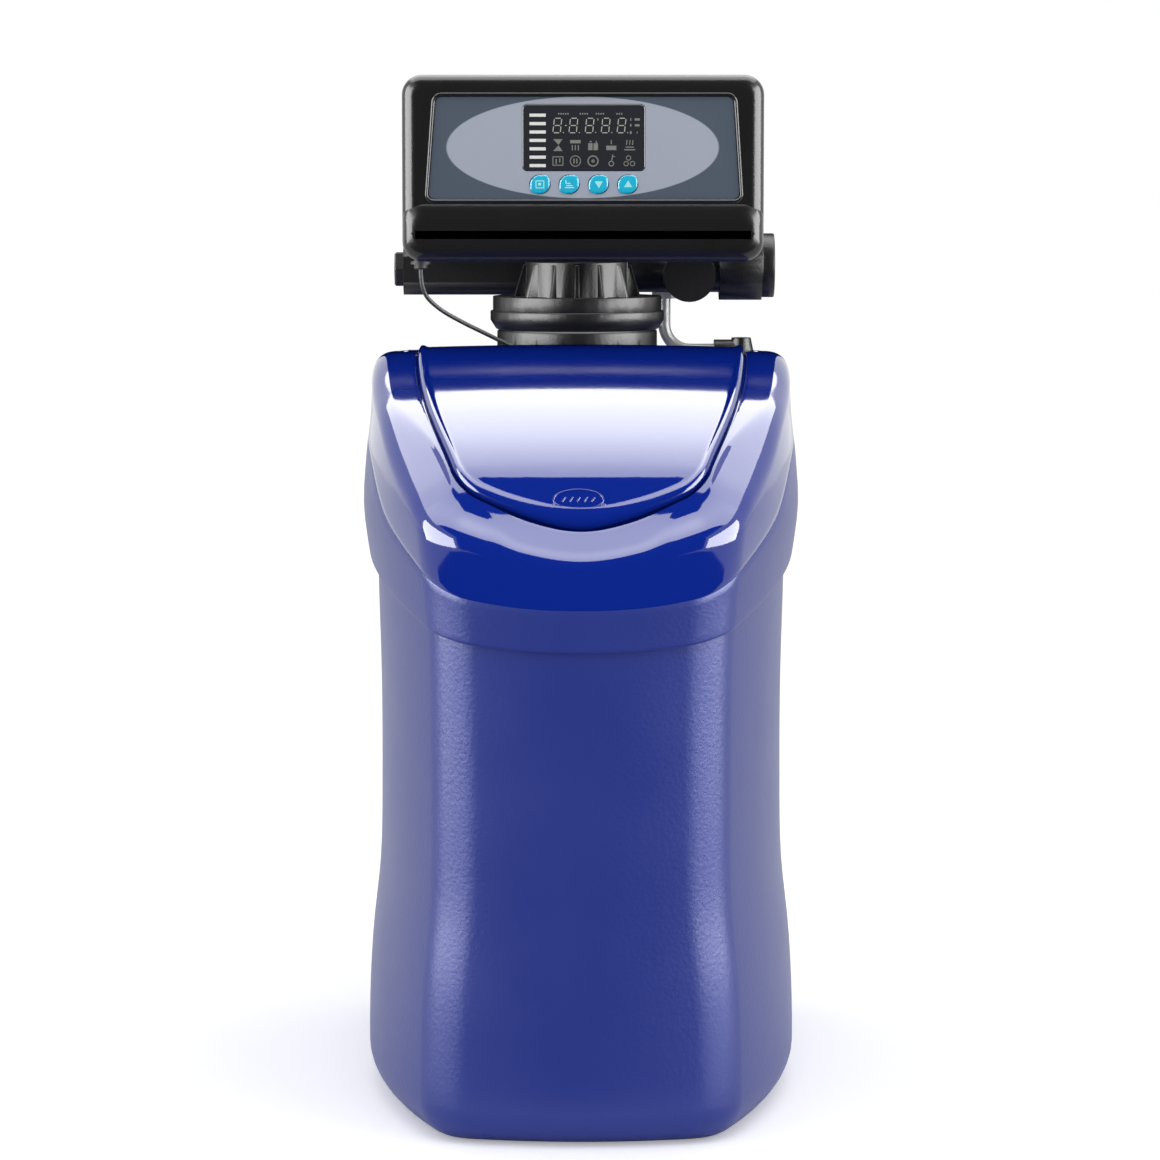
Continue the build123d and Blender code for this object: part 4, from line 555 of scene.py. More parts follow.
def cubic(a, b, c, d, s):
    """A point of a Bezier curve."""
    return (a * (1 - s) ** 3 + b * 3 * s * (1 - s) ** 2
            + c * 3 * s * s * (1 - s) + d * s**3)


# Each station has its own section through the cover, from the seam up the wall, over the
# rolled edge to the opening, down to the seat and back along the inside
sections = []
for part, t in stations:
    rim = Vector(rim_place(part, t))
    edge = Vector(outer_place(part, t, flare_shares, top_level))
    margin = (edge - rim).length
    share = shoulder(part, t)
    roll = edge_roll + (corner_share * margin - edge_roll) * share
    x, y = outer_place(part, t, flare_shares,
                       land(*outer_place(part, t, flare_shares, top_level, roll)), roll)
    end = Vector((x, y, land(x, y)))
    brim = Vector((rim.x, rim.y, land(rim.x, rim.y)))
    step = end.lerp(brim, land_start)
    step.z = land(step.x, step.y)
    inward = step - end
    inward.z = max(inward.z, roll_tilt * share * inward.xy.length)
    inward.normalize()
    top_z = end.z - roll
    low = seam(*outer_place(part, t, flare_shares, seam_level)) + seam_gap
    section = [wall_place(part, t, low + rise, inset) for rise, inset in hem_rows]
    hem = low + hem_height
    section += [wall_place(part, t, hem + (top_z - hem) * i / 8) for i in range(9)]
    start = section[-1]
    lift = Vector((0, 0, handle * roll))
    section += [cubic(start, start + lift, end - inward * handle * roll, end, i / 12)
                for i in range(1, 13)]
    for s in land_shares:
        spot = end.lerp(brim, s)
        section.append(Vector((spot.x, spot.y, land(spot.x, spot.y))))
    for grow, drop in rim_rows:
        spot = rim_place(part, t, grow)
        section.append(Vector((*spot, land(*spot) - drop)))
    if part in ("rear", "back") or (part == "flank" and t > side_end):
        foot = deck_top - wall / 2
    else:
        foot = min(lid_top(rim.y - ledge_drop) - ledge_drop - ledge_wall - crown(rim.x),
                   brim.z - wall)
    under = rim_place(part, t, min(ledge_wall, under_share * margin))
    head = max(min(land(*under) - wall, foot + most_rise), foot + least_rise)
    section += [Vector((rim.x, rim.y, foot)), Vector((*under, foot)), Vector((*under, head)),
                wall_place(part, t, top_z - wall, wall), wall_place(part, t, low, wall)]
    sections.append(section)
# Injection-moulded ABS from a polished mould: mirror gloss with a very slight waviness
gloss_blue = moulded("moulded_gloss_abs", "#0d2a96", 0.07, grain=5.0, depth=0.008,
                     spread=0.015, shade=0.02, extra=(("Coat Weight", 0.5),))
shell = bmesh.new()
tiers = [both_sides([tuple(section[k]) for section in sections])
         for k in range(len(sections[0]))]
loft(shell, tiers + tiers[:1], capped=False)

# The seat: a ledge that the lid lies on, along the U of the opening
half_ledge = []
for part, t in stations:
    outer, inner = rim_place(part, t, ledge_bite), rim_place(part, t, -lid_gap - ledge_width)
    if outer[1] > deck_front - wall:
        break
    tops = [lid_top(y - ledge_drop) - ledge_drop - crown(x) for x, y in (outer, inner)]
    half_ledge.append([(*outer, tops[0]), (*inner, tops[1]), (*inner, tops[1] - ledge_wall),
                       (*outer, tops[0] - ledge_wall)])
other_half = [[(-x, y, z) for x, y, z in places] for places in reversed(half_ledge[1:])]
loft(shell, other_half + half_ledge)

# The deck: a flat tray with the neck's hole, the elbow's hole and an upstand in front
deck_wall = 3.0
deck_bite = 1.0
neck_x, neck_y, neck_hole = -2.0, 73.0, 44.5
elbow_x, elbow_y, elbow_hole = 84.5, 104.0, 6.0
upstand_width, upstand_height, upstand_z = 160.0, 11.0, 356.0


def cuboid(build, middle, size, turn=Matrix()):
    """A box in that bmesh. Returns its corners."""
    place = turn @ Matrix.LocRotScale(Vector(middle), None, Vector(size))
    return bmesh.ops.create_cube(build, size=1.0, matrix=place)["verts"]


tray = bmesh.new()
outline = []
turn_x = deck_half_width - deck_corner
front_y, rear_y = deck_front + deck_corner, deck_back - deck_corner
for x, y, turn in ((turn_x, rear_y, 0), (-turn_x, rear_y, 90), (-turn_x, front_y, 180),
                   (turn_x, front_y, 270)):
    for i in range(11):
        outline.append((*on_arc(x, y, deck_corner + deck_bite, math.radians(turn),
                                math.radians(turn + 90), i / 10), deck_top))
start_row(tray, outline)
for x, y, radius, count in ((neck_x, neck_y, neck_hole, 96),
                            (elbow_x, elbow_y, elbow_hole, 32)):
    bmesh.ops.create_circle(tray, segments=count, radius=radius,
                            matrix=Matrix.Translation((x, y, deck_top)))
bmesh.ops.triangle_fill(tray, use_beauty=True, use_dissolve=False, edges=tray.edges[:])
made = bmesh.ops.extrude_face_region(tray, geom=tray.faces[:])
bmesh.ops.translate(tray, vec=(0, 0, -deck_wall),
                    verts=[v for v in made["geom"] if isinstance(v, bmesh.types.BMVert)])
cuboid(tray, (0, deck_front - deck_wall / 2, upstand_z),
       (upstand_width, deck_wall, upstand_height))
mesh = bpy.data.meshes.new("tray")
tray.to_mesh(mesh)
tray.free()
shell.from_mesh(mesh)
bpy.data.meshes.remove(mesh)

# Hinge ears: two pairs of plates on the deck that hold the lid's pins
hinge_x, hinge_y, hinge_z = 60.0, 17.0, 358.0
knuckle_radius = 3.6
knuckle_width = 12.0
ear_width = 3.0
ear_gap = 0.3
ear_sink = 1.0
for x in (-hinge_x, hinge_x):
    for side in (-1, 1):
        start = x + side * (knuckle_width / 2 + ear_gap + ear_width / 2) - ear_width / 2
        arch = [(start, *on_arc(hinge_y, hinge_z, knuckle_radius, 0, math.pi, i / 16))
                for i in range(17)]
        arch += [(start, hinge_y - knuckle_radius, deck_top - ear_sink),
                 (start, hinge_y + knuckle_radius, deck_top - ear_sink)]
        loft(shell, [arch, [(px + ear_width, py, pz) for px, py, pz in arch]])
cover = settle(shell, "cover_shell", gloss_blue)
dress(gloss_blue, "cabinet_cover", "salt_lid")
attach(cover, "cabinet")
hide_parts("cabinet_cover")

# Salt lid: an injection-moulded flap in the cover's gloss blue, with a rolled bead along
# its U and two knuckles that turn on the hinge pins
bead_rise = ((0.0, -1.9), (0.3, -0.9), (0.8, 0.1), (1.5, 0.8), (2.4, 1.0), (3.3, 0.75),
             (4.2, 0.25), (5.2, 0.0), (7.0, 0.0))
# Insets of the rows that follow the U, close together over the bead
skin_insets = (0.0, 0.1, 0.3, 0.55, 0.8, 1.15, 1.5, 1.95, 2.4, 2.85, 3.3, 3.75, 4.2, 4.7, 5.2,
               6.0, 7.5, 9.5, 12.0, 15.0)
lid_wall = 2.4
least_lid_corner = 4.0
# The webs between the flap and its knuckles, placed from the hinge's own line
web_depth, web_height, web_round = 5.2, 6.0, 0.5
web_shift = (-3.2, 3.6)
# Inside the bead the skin closes on a line along its middle, this share of its depth long
skin_end_share = 0.3
# Half the step over which the lid's slope is taken
probe = 0.2


def lid_half(inset):
    """Half of the lid's U, from its tip to its rear edge."""
    places = front_stations + [("side", i / 36) for i in range(37)]
    return [u_place(part, t, lid_half_width - inset, lid_reach - inset, lid_bow, lid_side,
                    lid_rear, max(lid_corner - inset, least_lid_corner)) for part, t in places]


def lid_skin(x, y, rise=0.0):
    """A point of the lid's top, raised along the surface's own direction."""
    slope = (lid_top(y + probe) - lid_top(y - probe)) / (2 * probe)
    lean = Vector((2 * crown(x) / x if x else 0.0, -slope, 1.0)).normalized()
    return tuple(Vector((x, y, lid_top(y) - crown(x))) + lean * rise)


def lid_row(half):
    """A whole open row from its right half."""
    return [(-x, y, z) for x, y, z in reversed(half[1:])] + half


def round_edges(build, corners, width):
    """Round every edge at those vertices."""
    edges = list(dict.fromkeys(e for v in corners for e in v.link_edges))
    bmesh.ops.bevel(build, geom=edges, offset=width, offset_type="OFFSET", segments=2,
                    profile=0.5, affect="EDGES", material=-1)


flap = bmesh.new()
rows = [lid_row([lid_skin(x, y, between(bead_rise, inset)[0]) for x, y in lid_half(inset)])
        for inset in skin_insets]
for i in range(1, 31):
    keep = 1 - i / 30
    depth = skin_end_share + (1 - skin_end_share) * keep
    rows.append(lid_row([lid_skin(x * keep, lid_rear + (y - lid_rear) * depth)
                         for x, y in lid_half(skin_insets[-1])]))
loft(flap, rows, closed=False, capped=False)
bmesh.ops.remove_doubles(flap, verts=flap.verts, dist=0.01)
bmesh.ops.recalc_face_normals(flap, faces=flap.faces)
if sum(face.normal.z for face in flap.faces) < 0:
    bmesh.ops.reverse_faces(flap, faces=flap.faces)
bmesh.ops.solidify(flap, geom=flap.faces[:], thickness=lid_wall)
for x in (-hinge_x, hinge_x):
    turned = Matrix.Translation((x, hinge_y, hinge_z)) @ Matrix.Rotation(math.pi / 2, 4, "Y")
    bmesh.ops.create_cone(flap, cap_ends=True, segments=40, radius1=knuckle_radius,
                          radius2=knuckle_radius, depth=knuckle_width, matrix=turned)
    round_edges(flap, cuboid(flap, (x, hinge_y + web_shift[0], hinge_z + web_shift[1]),
                             (knuckle_width, web_depth, web_height)), web_round)
lid = settle(flap, "lid_flap", gloss_blue, sharp=50.0, outward=False)
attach(lid, "lid")
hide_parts("salt_lid")

# Lid badge: a raised oval with a double lower line and five small bars, moulded in the
# lid's own blue just above the bead at its tip
badge_x, badge_z = -1.2, 303.0
badge_half_width, badge_half_height = 11.6, 4.4
badge_wire = 0.42
badge_step = (0.9, 0.75)
bar_step, bar_lean = 3.4, 0.8


def lid_front(x, z):
    """The point of the lid's steep front at that height."""
    level = z + crown(x)
    return next((x, a[0] + (b[0] - a[0]) * (a[1] - level) / (a[1] - b[1]), z)
                for a, b in zip(lid_points, lid_points[1:]) if b[1] <= level)


def badge_arc(grow, start, end):
    """Points along the badge's oval between two angles, grow steps outside it."""
    return [(badge_x + (badge_half_width + badge_step[0] * grow) * math.cos(math.radians(a)),
             badge_z + (badge_half_height + badge_step[1] * grow) * math.sin(math.radians(a)))
            for a in range(start, end, 10)]


strokes = [badge_arc(0, 0, 360), badge_arc(1, 200, 342), badge_arc(2, 200, 342)]
strokes += [[(badge_x + bar_step * i + end * bar_lean, badge_z + end) for end in (-1, 1)]
            for i in range(-2, 3)]
strokes = [[lid_front(x, z) for x, z in points] for points in strokes]
badge = wire("lid_badge", gloss_blue, badge_wire, strokes, rings=3, steps=4, loop=strokes[0])
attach(badge, "lid")

# Inside the cabinet: the resin vessel and its parts, the salt grid, the well and its valve.
# Natural polypropylene: a soft white with a dull mould skin
natural_white = moulded("natural_polypropylene", "#dcdedb", 0.42, grain=1.4, depth=0.04,
                        shade=0.02)
dress(natural_white, "overflow_spigot", "overflow_nut", "salt_grid", "brine_well", "well_cap",
      "float_valve", "float_rod", "vessel_foot", "riser_tube", "lower_strainer",
      "upper_strainer", "injector_nozzle", "flow_turbine", "turbine_cage", "disc_rotor",
      "main_gear", "idler_gear", "motor_pinion", "brine_nut")
# Drawn stainless steel, faintly lined; zinc plate on the motor's can, cloudy
dress(moulded("drawn_stainless", "#b9babb", 0.28, grain=1.6, depth=0.05, metallic=1.0),
      "lid_hinge_pins", "bonnet_screws", "box_screws", "board_screws")
dress(moulded("zinc_plate", "#9b9ea2", 0.35, grain=3.3, depth=0.08, metallic=1.0),
      "gear_motor")
# Lapped alumina: cream, near polished; beaded foam on the float; moulded nitrile, dull
dress(moulded("lapped_alumina", "#e8e3d8", 0.18, grain=0.8, depth=0.01, ior=1.7),
      "fixed_disc", "moving_disc")
dress(moulded("beaded_foam", "#e4e3dc", 0.6, grain=1.1, depth=0.3), "brine_float")
dress(moulded("moulded_nitrile", "#161616", 0.6, grain=0.8, depth=0.08), "box_gasket",
      "deck_seal", "neck_seal", "lead_bush")

# Resin vessel: glass fibre wound in 16 mm bands over a liner, under a clear resin coat.
# The bands show as low ripples in the gloss
wound_glass = moulded("wound_glass_fibre", "#a9b0a2", 0.3, grain=5.5, depth=0.15)
wound_tree = wound_glass.node_tree
bands = add_node(wound_tree, "TexWave", (
    ("Vector", add_node(wound_tree, "TexCoord").outputs["Object"]),
    ("Scale", 1 / (16 * mm)), ("Distortion", 1.5), ("Detail", 2.0)),
    wave_type="BANDS", bands_direction="Z")
winding = add_node(wound_tree, "Bump", (
    ("Height", bands.outputs[1]), ("Strength", 0.25), ("Distance", mm)))
wound_shader = wound_tree.nodes["Principled BSDF"]
wound_tree.links.new(wound_shader.inputs["Normal"].links[0].from_socket,
                     winding.inputs["Normal"])
wound_tree.links.new(winding.outputs[0], wound_shader.inputs["Normal"])
dress(wound_glass, "resin_vessel")
# Resin beads under 1 mm across, wet and amber
dress(moulded("amber_beads", "#a8671f", 0.35, grain=0.7, depth=0.6), "resin_bed")

# Neck rings and control valve: glass-filled nylon mouldings, screwed up on the vessel's
# neck. The glass gives a fine grain and a soft sheen, and every edge is a little rounded
nylon_black = moulded("glass_filled_nylon", "#1b1b1c", 0.36, grain=1.2, depth=0.10)
heavy_mouldings = ("lower_neck_ring", "upper_neck_ring", "valve_body", "outlet_tail",
                   "inlet_tail", "drain_fitting", "injector_cap", "deck_elbow")
dress(nylon_black, "valve_bonnet", "meter_probe", *heavy_mouldings)
for name in heavy_mouldings:
    weld = nodes[name].modifiers.new("weld", "WELD")
    weld.merge_threshold = 0.02 * mm
    soften = nodes[name].modifiers.new("soften", "BEVEL")
    soften.width = 0.5 * mm
    soften.segments = 2
    soften.limit_method = "ANGLE"
    soften.angle_limit = math.radians(40)
    soften.harden_normals = True

# Ribs on the valve's hub: tapered webs moulded round the neck to stiffen the flange
hub_radius = 27.0
hub_foot, hub_head = 389.0, 406.0
rib_reach = 6.5
rib_width = 2.6
rib_count = 14
rib_root, rib_tip, rib_round = 1.0, 1.5, 0.4
rib_middle = (hub_foot + hub_head) / 2
webs = bmesh.new()
for i in range(rib_count):
    turn = Matrix.Translation((neck_x, neck_y, 0)) @ Matrix.Rotation(
        2 * math.pi * (i + 0.5) / rib_count, 4, "Z")
    rib = cuboid(webs, (hub_radius + (rib_reach - rib_root) / 2, 0, rib_middle),
                 (rib_reach + rib_root, rib_width, hub_head - hub_foot), turn)
    for vert in rib:
        away = Vector((vert.co.x - neck_x, vert.co.y - neck_y, 0))
        if vert.co.z > rib_middle and away.length > hub_radius:
            vert.co -= away.normalized() * (rib_reach - rib_tip)
    round_edges(webs, rib, rib_round)
hub_ribs = settle(webs, "hub_ribs", nylon_black)
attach(hub_ribs, "cabinet")

# Brine line: a natural polyethylene tube from the valve to the elbow on the deck, and on
# down into the well. Its wall lets a little light through
clear_tube = moulded("natural_polyethylene", "#e6e8e4", 0.25, grain=1.6, depth=0.03,
                     shade=0.02, extra=(("Transmission Weight", 0.35),
                                        ("Subsurface Weight", 0.2),
                                        ("Subsurface Scale", 2 * mm)))
dress(clear_tube, "brine_tube", "drop_tube")

# Control box: two satin black ABS shells. The front one has a rolled edge, a sunk panel
# with a bright lip round it, pockets for the keys and a rounded chin below
box_x = 1.0
box_half_width = 90.5
box_foot, box_top = 409.0, 502.0
box_corner = 10.0
box_split = 28.0
box_face = -3.0
box_roll = 7.0
box_wall = 2.5
box_edge = 0.4
box_row = 16.0
# How the corners shrink as the outline is drawn in, and the least that they come to
corner_draw, least_box_corner = 0.8, 3.0
panel_foot, panel_head = 440.0, 491.3
panel_foot_sides, panel_head_sides = (-76.5, 79.5), (-72.5, 76.0)
panel_corner = 3.0
display_x, display_z = 1.4, 470.8
key_z = 447.6
key_pitch = 14.6
key_places = [display_x + key_pitch * step for step in (-1.5, -0.5, 0.5, 1.5)]
key_half_width, key_half_height = 5.0, 4.6
# Powers that draw a key's outline out to a point and that keep its other corners round
point_power, round_power = 0.55, 1.05
pocket_floor = 6.5
pocket_gap = 0.3
box_inside = 9.0
# Growth of the panel's outline and rise over the box's face, of the rows that make the lip
lip_rows = ((1.7, 0.0), (1.5, 0.3), (1.2, 0.5), (0.85, 0.56), (0.5, 0.5), (0.2, 0.25),
            (0.0, -0.1), (0.0, -1.6))


def oblong(left, foot, right, head):
    """Four corners in X and Z."""
    return ((left, foot), (right, foot), (right, head), (left, head))


def rounded(corners, radius):
    """A closed outline in X and Z through four corners, each rounded with nine points."""
    places = []
    for i in range(4):
        before, here, after = (Vector(corners[(i + k) % 4]) for k in (-1, 0, 1))
        into, out = (here - before).normalized(), (after - here).normalized()
        start, end, bend = here - into * radius, here + out * radius, handle * radius
        places += [tuple(cubic(start, start + into * bend, end - out * bend, end, k / 8))
                   for k in range(9)]
    return places


def box_outline(inset):
    """The box's outline in X and Z, drawn inwards by inset."""
    w = box_half_width - inset
    return rounded(oblong(box_x - w, box_foot + inset, box_x + w, box_top - inset),
                   max(box_corner - corner_draw * inset, least_box_corner))


def panel_outline(grow):
    """The panel's outline, drawn outwards by grow."""
    return rounded(((panel_foot_sides[0] - grow, panel_foot - grow),
                    (panel_foot_sides[1] + grow, panel_foot - grow),
                    (panel_head_sides[1] + grow, panel_head + grow),
                    (panel_head_sides[0] - grow, panel_head + grow)), panel_corner + grow)


def leaf(x, shrink):
    """A key's outline: a leaf with its points at the upper right and the lower left."""
    places = []
    for i in range(40):
        c, s = math.cos(math.pi * i / 20), math.sin(math.pi * i / 20)
        power = point_power if c * s > 0.01 else round_power
        places.append((x + (key_half_width - shrink) * math.copysign(abs(c) ** power, c),
                       key_z + (key_half_height - shrink) * math.copysign(abs(s) ** power, s)))
    return places


def at_depth(outline, y):
    """An outline in X and Z as points at that Y."""
    return [(x, y, z) for x, z in outline]


# Textured ABS: a satin black with a fine mould grain
satin_black = moulded("textured_abs", "#1d1d1e", 0.24, grain=1.4, depth=0.05, spread=0.03)
front = bmesh.new()
row = back_row = start_row(front, at_depth(box_outline(box_wall), box_split))
rows = [at_depth(box_outline(inset), y)
        for inset, y in ((box_edge, box_split), (0.0, box_split - box_edge), (0.0, box_row))]
for inset, back in quarter(12):
    rows.append(at_depth(box_outline(box_roll * inset), box_face + box_roll * back))
for grow, proud in lip_rows:
    rows.append(at_depth(panel_outline(grow), box_face - proud))
for places in rows:
    row = carry(front, row, places)
floor_y = rows[-1][0][1]
floor_edges = [front.edges.get(pair) for pair in zip(row, row[1:] + row[:1])]
for x in key_places:
    pocket = start_row(front, at_depth(leaf(x, -pocket_gap), floor_y))
    floor_edges += [front.edges.get(pair) for pair in zip(pocket, pocket[1:] + pocket[:1])]
    front.faces.new(carry(front, pocket, at_depth(leaf(x, -pocket_gap), pocket_floor)))
bmesh.ops.triangle_fill(front, use_beauty=True, use_dissolve=False, edges=floor_edges)
front.faces.new(carry(front, back_row, at_depth(box_outline(box_wall), box_inside)))
box_shell = settle(front, "box_shell", satin_black)
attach(box_shell, "cabinet")
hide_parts("box_front")
dress(satin_black, "box_front", "box_rear")

# The chin: a rounded swelling across the foot of the front shell, moulded with it
chin_half_width = 90.3
chin_foot, chin_top = 409.1, 440.6
chin_face = -6.0
chin_start = 3.0
chin_back = 4.0
chin_corner = 9.5
# How far the swelling draws in at its sides, its foot and its top
draw_side, draw_foot, draw_top = 6.5, 7.0, 11.6


def chin_outline(draw):
    """The chin's outline in X and Z, drawn in by a share of the swelling."""
    w, low, high = chin_half_width - draw_side * draw, draw_foot * draw, draw_top * draw
    return rounded(oblong(box_x - w, chin_foot + low, box_x + w, chin_top - high),
                   chin_corner - draw)


chin = bmesh.new()
rows = [at_depth(chin_outline(0.0), chin_back)]
for draw, back in quarter(10):
    rows.append(at_depth(chin_outline(draw), chin_face + (chin_start - chin_face) * back))
loft(chin, rows)
apron = settle(chin, "box_chin", satin_black)
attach(apron, "cabinet")

# Panel sheet: a printed polycarbonate film, slate with a pale oval, glued in the recess.
# The print is even, with the film's fine matt grain over it
oval_x, oval_z = 0.8, 465.9
oval_half_width, oval_half_height = 68.0, 25.2
oval_edge = (0.992, 1.004)
printed_film = moulded("printed_polycarbonate", "#525e6c", 0.3, grain=0.6, depth=0.04,
                       shade=0.02)
film_tree = printed_film.node_tree
film_shader = film_tree.nodes["Principled BSDF"]
centred = add_node(film_tree, "Mapping", (
    ("Vector", add_node(film_tree, "TexCoord").outputs["Object"]),
    ("Location", (-oval_x / oval_half_width, 0.0, -oval_z / oval_half_height)),
    ("Scale", (1 / (oval_half_width * mm), 0.0, 1 / (oval_half_height * mm)))))
reach = add_node(film_tree, "VectorMath", ((0, centred.outputs[0]),), operation="LENGTH")
outside = add_node(film_tree, "MapRange", (
    ("Value", reach.outputs["Value"]), ("From Min", oval_edge[0]), ("From Max", oval_edge[1])))
print_tone = add_node(film_tree, "MixRGB", (
    (0, outside.outputs[0]), (1, linear("#aab0be")),
    (2, film_shader.inputs["Base Color"].links[0].from_socket)))
film_tree.links.new(print_tone.outputs[0], film_shader.inputs["Base Color"])
dress(printed_film, "panel_sheet")

# Display: a smoked acrylic window over a lamp display, with its seven bars, five figures
# and ten small signs in pale ink on the window
window_face = -2.2
ink_rise = 0.07
ink_sink = 0.02
# Cast acrylic: near black, polished
dress(moulded("smoked_acrylic", "#2f3136", 0.12, grain=3.3, depth=0.01, spread=0.02),
      "display_window")
# Solder mask: a wet green over a slightly lumpy board
dress(moulded("solder_mask", "#0d4420", 0.3, grain=1.1, depth=0.15), "circuit_board",
      "display_module")


def mark(build, points, origin=(display_x, display_z), face=window_face, rise=ink_rise):
    """A flat mark: an outline in X and Z from an origin, printed proud of a face."""
    points = [(origin[0] + x, origin[1] + z) for x, z in points]
    loft(build, [at_depth(points, face + ink_sink), at_depth(points, face - rise)])


def block(build, x, z, width, height, slant=0.0):
    """A mark in the form of a leaning block, from its middle."""
    lean = slant * height / 2
    mark(build, [(x + side * width / 2 + end * lean, z + end * height / 2)
                 for side, end in ((-1, -1), (1, -1), (1, 1), (-1, 1))])


def hoop(build, x, z, radius, line):
    """A mark in the form of a ring."""
    x, z = display_x + x, display_z + z
    low, high = window_face + ink_sink, window_face - ink_rise
    rows = [at_depth([on_arc(x, z, r, 0, 2 * math.pi, i / 24) for i in range(24)], y)
            for r, y in ((radius, low), (radius, high), (radius - line, high),
                         (radius - line, low))]
    loft(build, rows + rows[:1], capped=False)


bar_x, bar_top = -23.0, 11.1
bar_pitch, bar_width, bar_height = 4.16, 8.1, 1.55
bright = bmesh.new()
for i in range(7):
    block(bright, bar_x, bar_top - bar_pitch * i, bar_width, bar_height)
figures = bmesh.new()
figure_height, figure_width, stroke, slant = 7.2, 3.7, 0.42, 0.11
# How much shorter the level and the upright strokes are, and the dot after each figure
level_short, upright_short = 1.1, 0.9
dot_x, dot_lift, dot_size = 3.0, 0.1, 0.45
z = 6.0
for x in (-13.2, -5.2, 2.9, 10.9, 18.8):
    for level in (-1, 0, 1):
        block(figures, x + slant * level * figure_height / 2, z + level * figure_height / 2,
              figure_width - level_short, stroke)
    for side in (-1, 1):
        for middle in (-figure_height / 4, figure_height / 4):
            block(figures, x + side * figure_width / 2 + slant * middle, z + middle, stroke,
                  figure_height / 2 - upright_short, slant)
    block(figures, x + dot_x, z - figure_height / 2 + dot_lift, dot_size, dot_size)
block(figures, -9.0, 6.0, 0.9, 0.4)
block(figures, 7.0, 9.0, 0.3, 1.0)

signs = bmesh.new()
letter_pitch, letter_width, letter_height, letter_z = 1.15, 0.7, 0.75, 11.8
for middle, count in ((-10.2, 5), (0.0, 4), (8.0, 4), (17.7, 3)):
    for i in range(count):
        block(signs, middle + (i - (count - 1) / 2) * letter_pitch, letter_z, letter_width,
              letter_height)
for z, left, right in ((9.0, 0.5, 2.6), (6.1, 0.7, 2.4), (2.5, 0.9, 0.4)):
    block(signs, 23.4, z, left, 1.3)
    block(signs, 26.6, z, right, 1.1)
upper, lower = -3.7, -11.6
# Upper signs: hourglass, shower, tank, tank with an arrow, tray with three strokes
for x, z, width, height, *lean in (
        (-12.9, 2.7, 4.4, 0.5), (-12.9, -2.7, 4.4, 0.5), (-4.2, 1.7, 5.2, 1.6),
        (-5.7, -1.3, 0.5, 2.6), (-4.2, -1.3, 0.5, 2.6), (-2.7, -1.3, 0.5, 2.6),
        (3.25, -0.8, 2.2, 3.4), (5.95, -0.8, 2.2, 3.4), (3.4, 1.7, 1.0, 0.7),
        (6.2, 1.5, 0.5, 1.2), (13.7, -1.4, 5.0, 2.2), (13.7, 1.5, 0.5, 2.0),
        (21.4, 1.3, 0.45, 2.4, 0.1), (22.9, 1.3, 0.45, 2.4, 0.1), (24.4, 1.3, 0.45, 2.4, 0.1),
        (22.9, -1.0, 4.2, 0.5), (22.9, -2.3, 5.4, 0.6)):
    block(signs, x, upper + z, width, height, *lean)
for flip in (1, -1):
    mark(signs, [(x, upper + flip * z) for x, z in ((-14.8, 2.4), (-11.0, 2.4), (-12.6, 0.1))])
# Lower signs: box with a double arrow, two bars in a ring, ring with a dot, key, cluster
for x, z, width, height, *lean in (
        (-12.9, 2.1, 4.5, 0.45), (-12.9, -2.1, 4.5, 0.45), (-15.4, 0, 0.45, 4.6),
        (-10.4, 0, 0.45, 4.6), (-13.8, -0.2, 0.6, 2.4), (-12.0, 0.3, 0.6, 2.0),
        (-4.9, 0, 0.6, 2.4), (-3.5, 0, 0.6, 2.4), (14.2, 1.7, 0.5, 3.0, 0.2),
        (15.1, 2.2, 1.0, 0.4)):
    block(signs, x, lower + z, width, height, *lean)
for x, z, radius, line in (
        (-4.2, 0, 2.8, 0.45), (4.6, 0, 2.8, 0.6), (4.6, 0, 0.8, 0.5), (13.7, -1.3, 1.4, 0.45),
        (22.3, 1.5, 1.3, 0.4), (21.1, -1.3, 1.3, 0.4), (24.3, -1.3, 1.3, 0.4)):
    hoop(signs, x, lower + z, radius, line)
# Screen inks: matt, in a near white, a cream and a dim grey
for build, name, colour in ((bright, "display_bars", "#e9e9e2"),
                            (figures, "display_figures", "#bdbcae"),
                            (signs, "display_signs", "#83837c")):
    piece = settle(build, name, moulded("ink_" + name, colour, 0.4, grain=0.5))
    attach(piece, "cabinet")

# Keys: four caps in translucent cyan polycarbonate with a pale sign on each. Each slides
# back 0.8 mm on its own stem
key_face = -3.3
# How far each row of a cap is drawn in, and its depth
cap_rows = ((0.0, -0.6), (0.0, -2.3), (0.12, -2.75), (0.4, -3.05), (0.85, -3.22),
            (1.4, key_face), (2.6, key_face - 0.06))
stem_radius, stem_length, stem_middle = 2.0, 6.4, 2.3
sign_lift, sign_rise = 0.05, 0.1
# Tinted polycarbonate: glossy, with light in its depth
key_cyan = moulded("tinted_polycarbonate", "#18c0e2", 0.22, grain=2.5, depth=0.01,
                   spread=0.03, extra=(("Subsurface Weight", 0.15), ("Subsurface Scale", mm),
                                       ("Coat Weight", 0.4)))
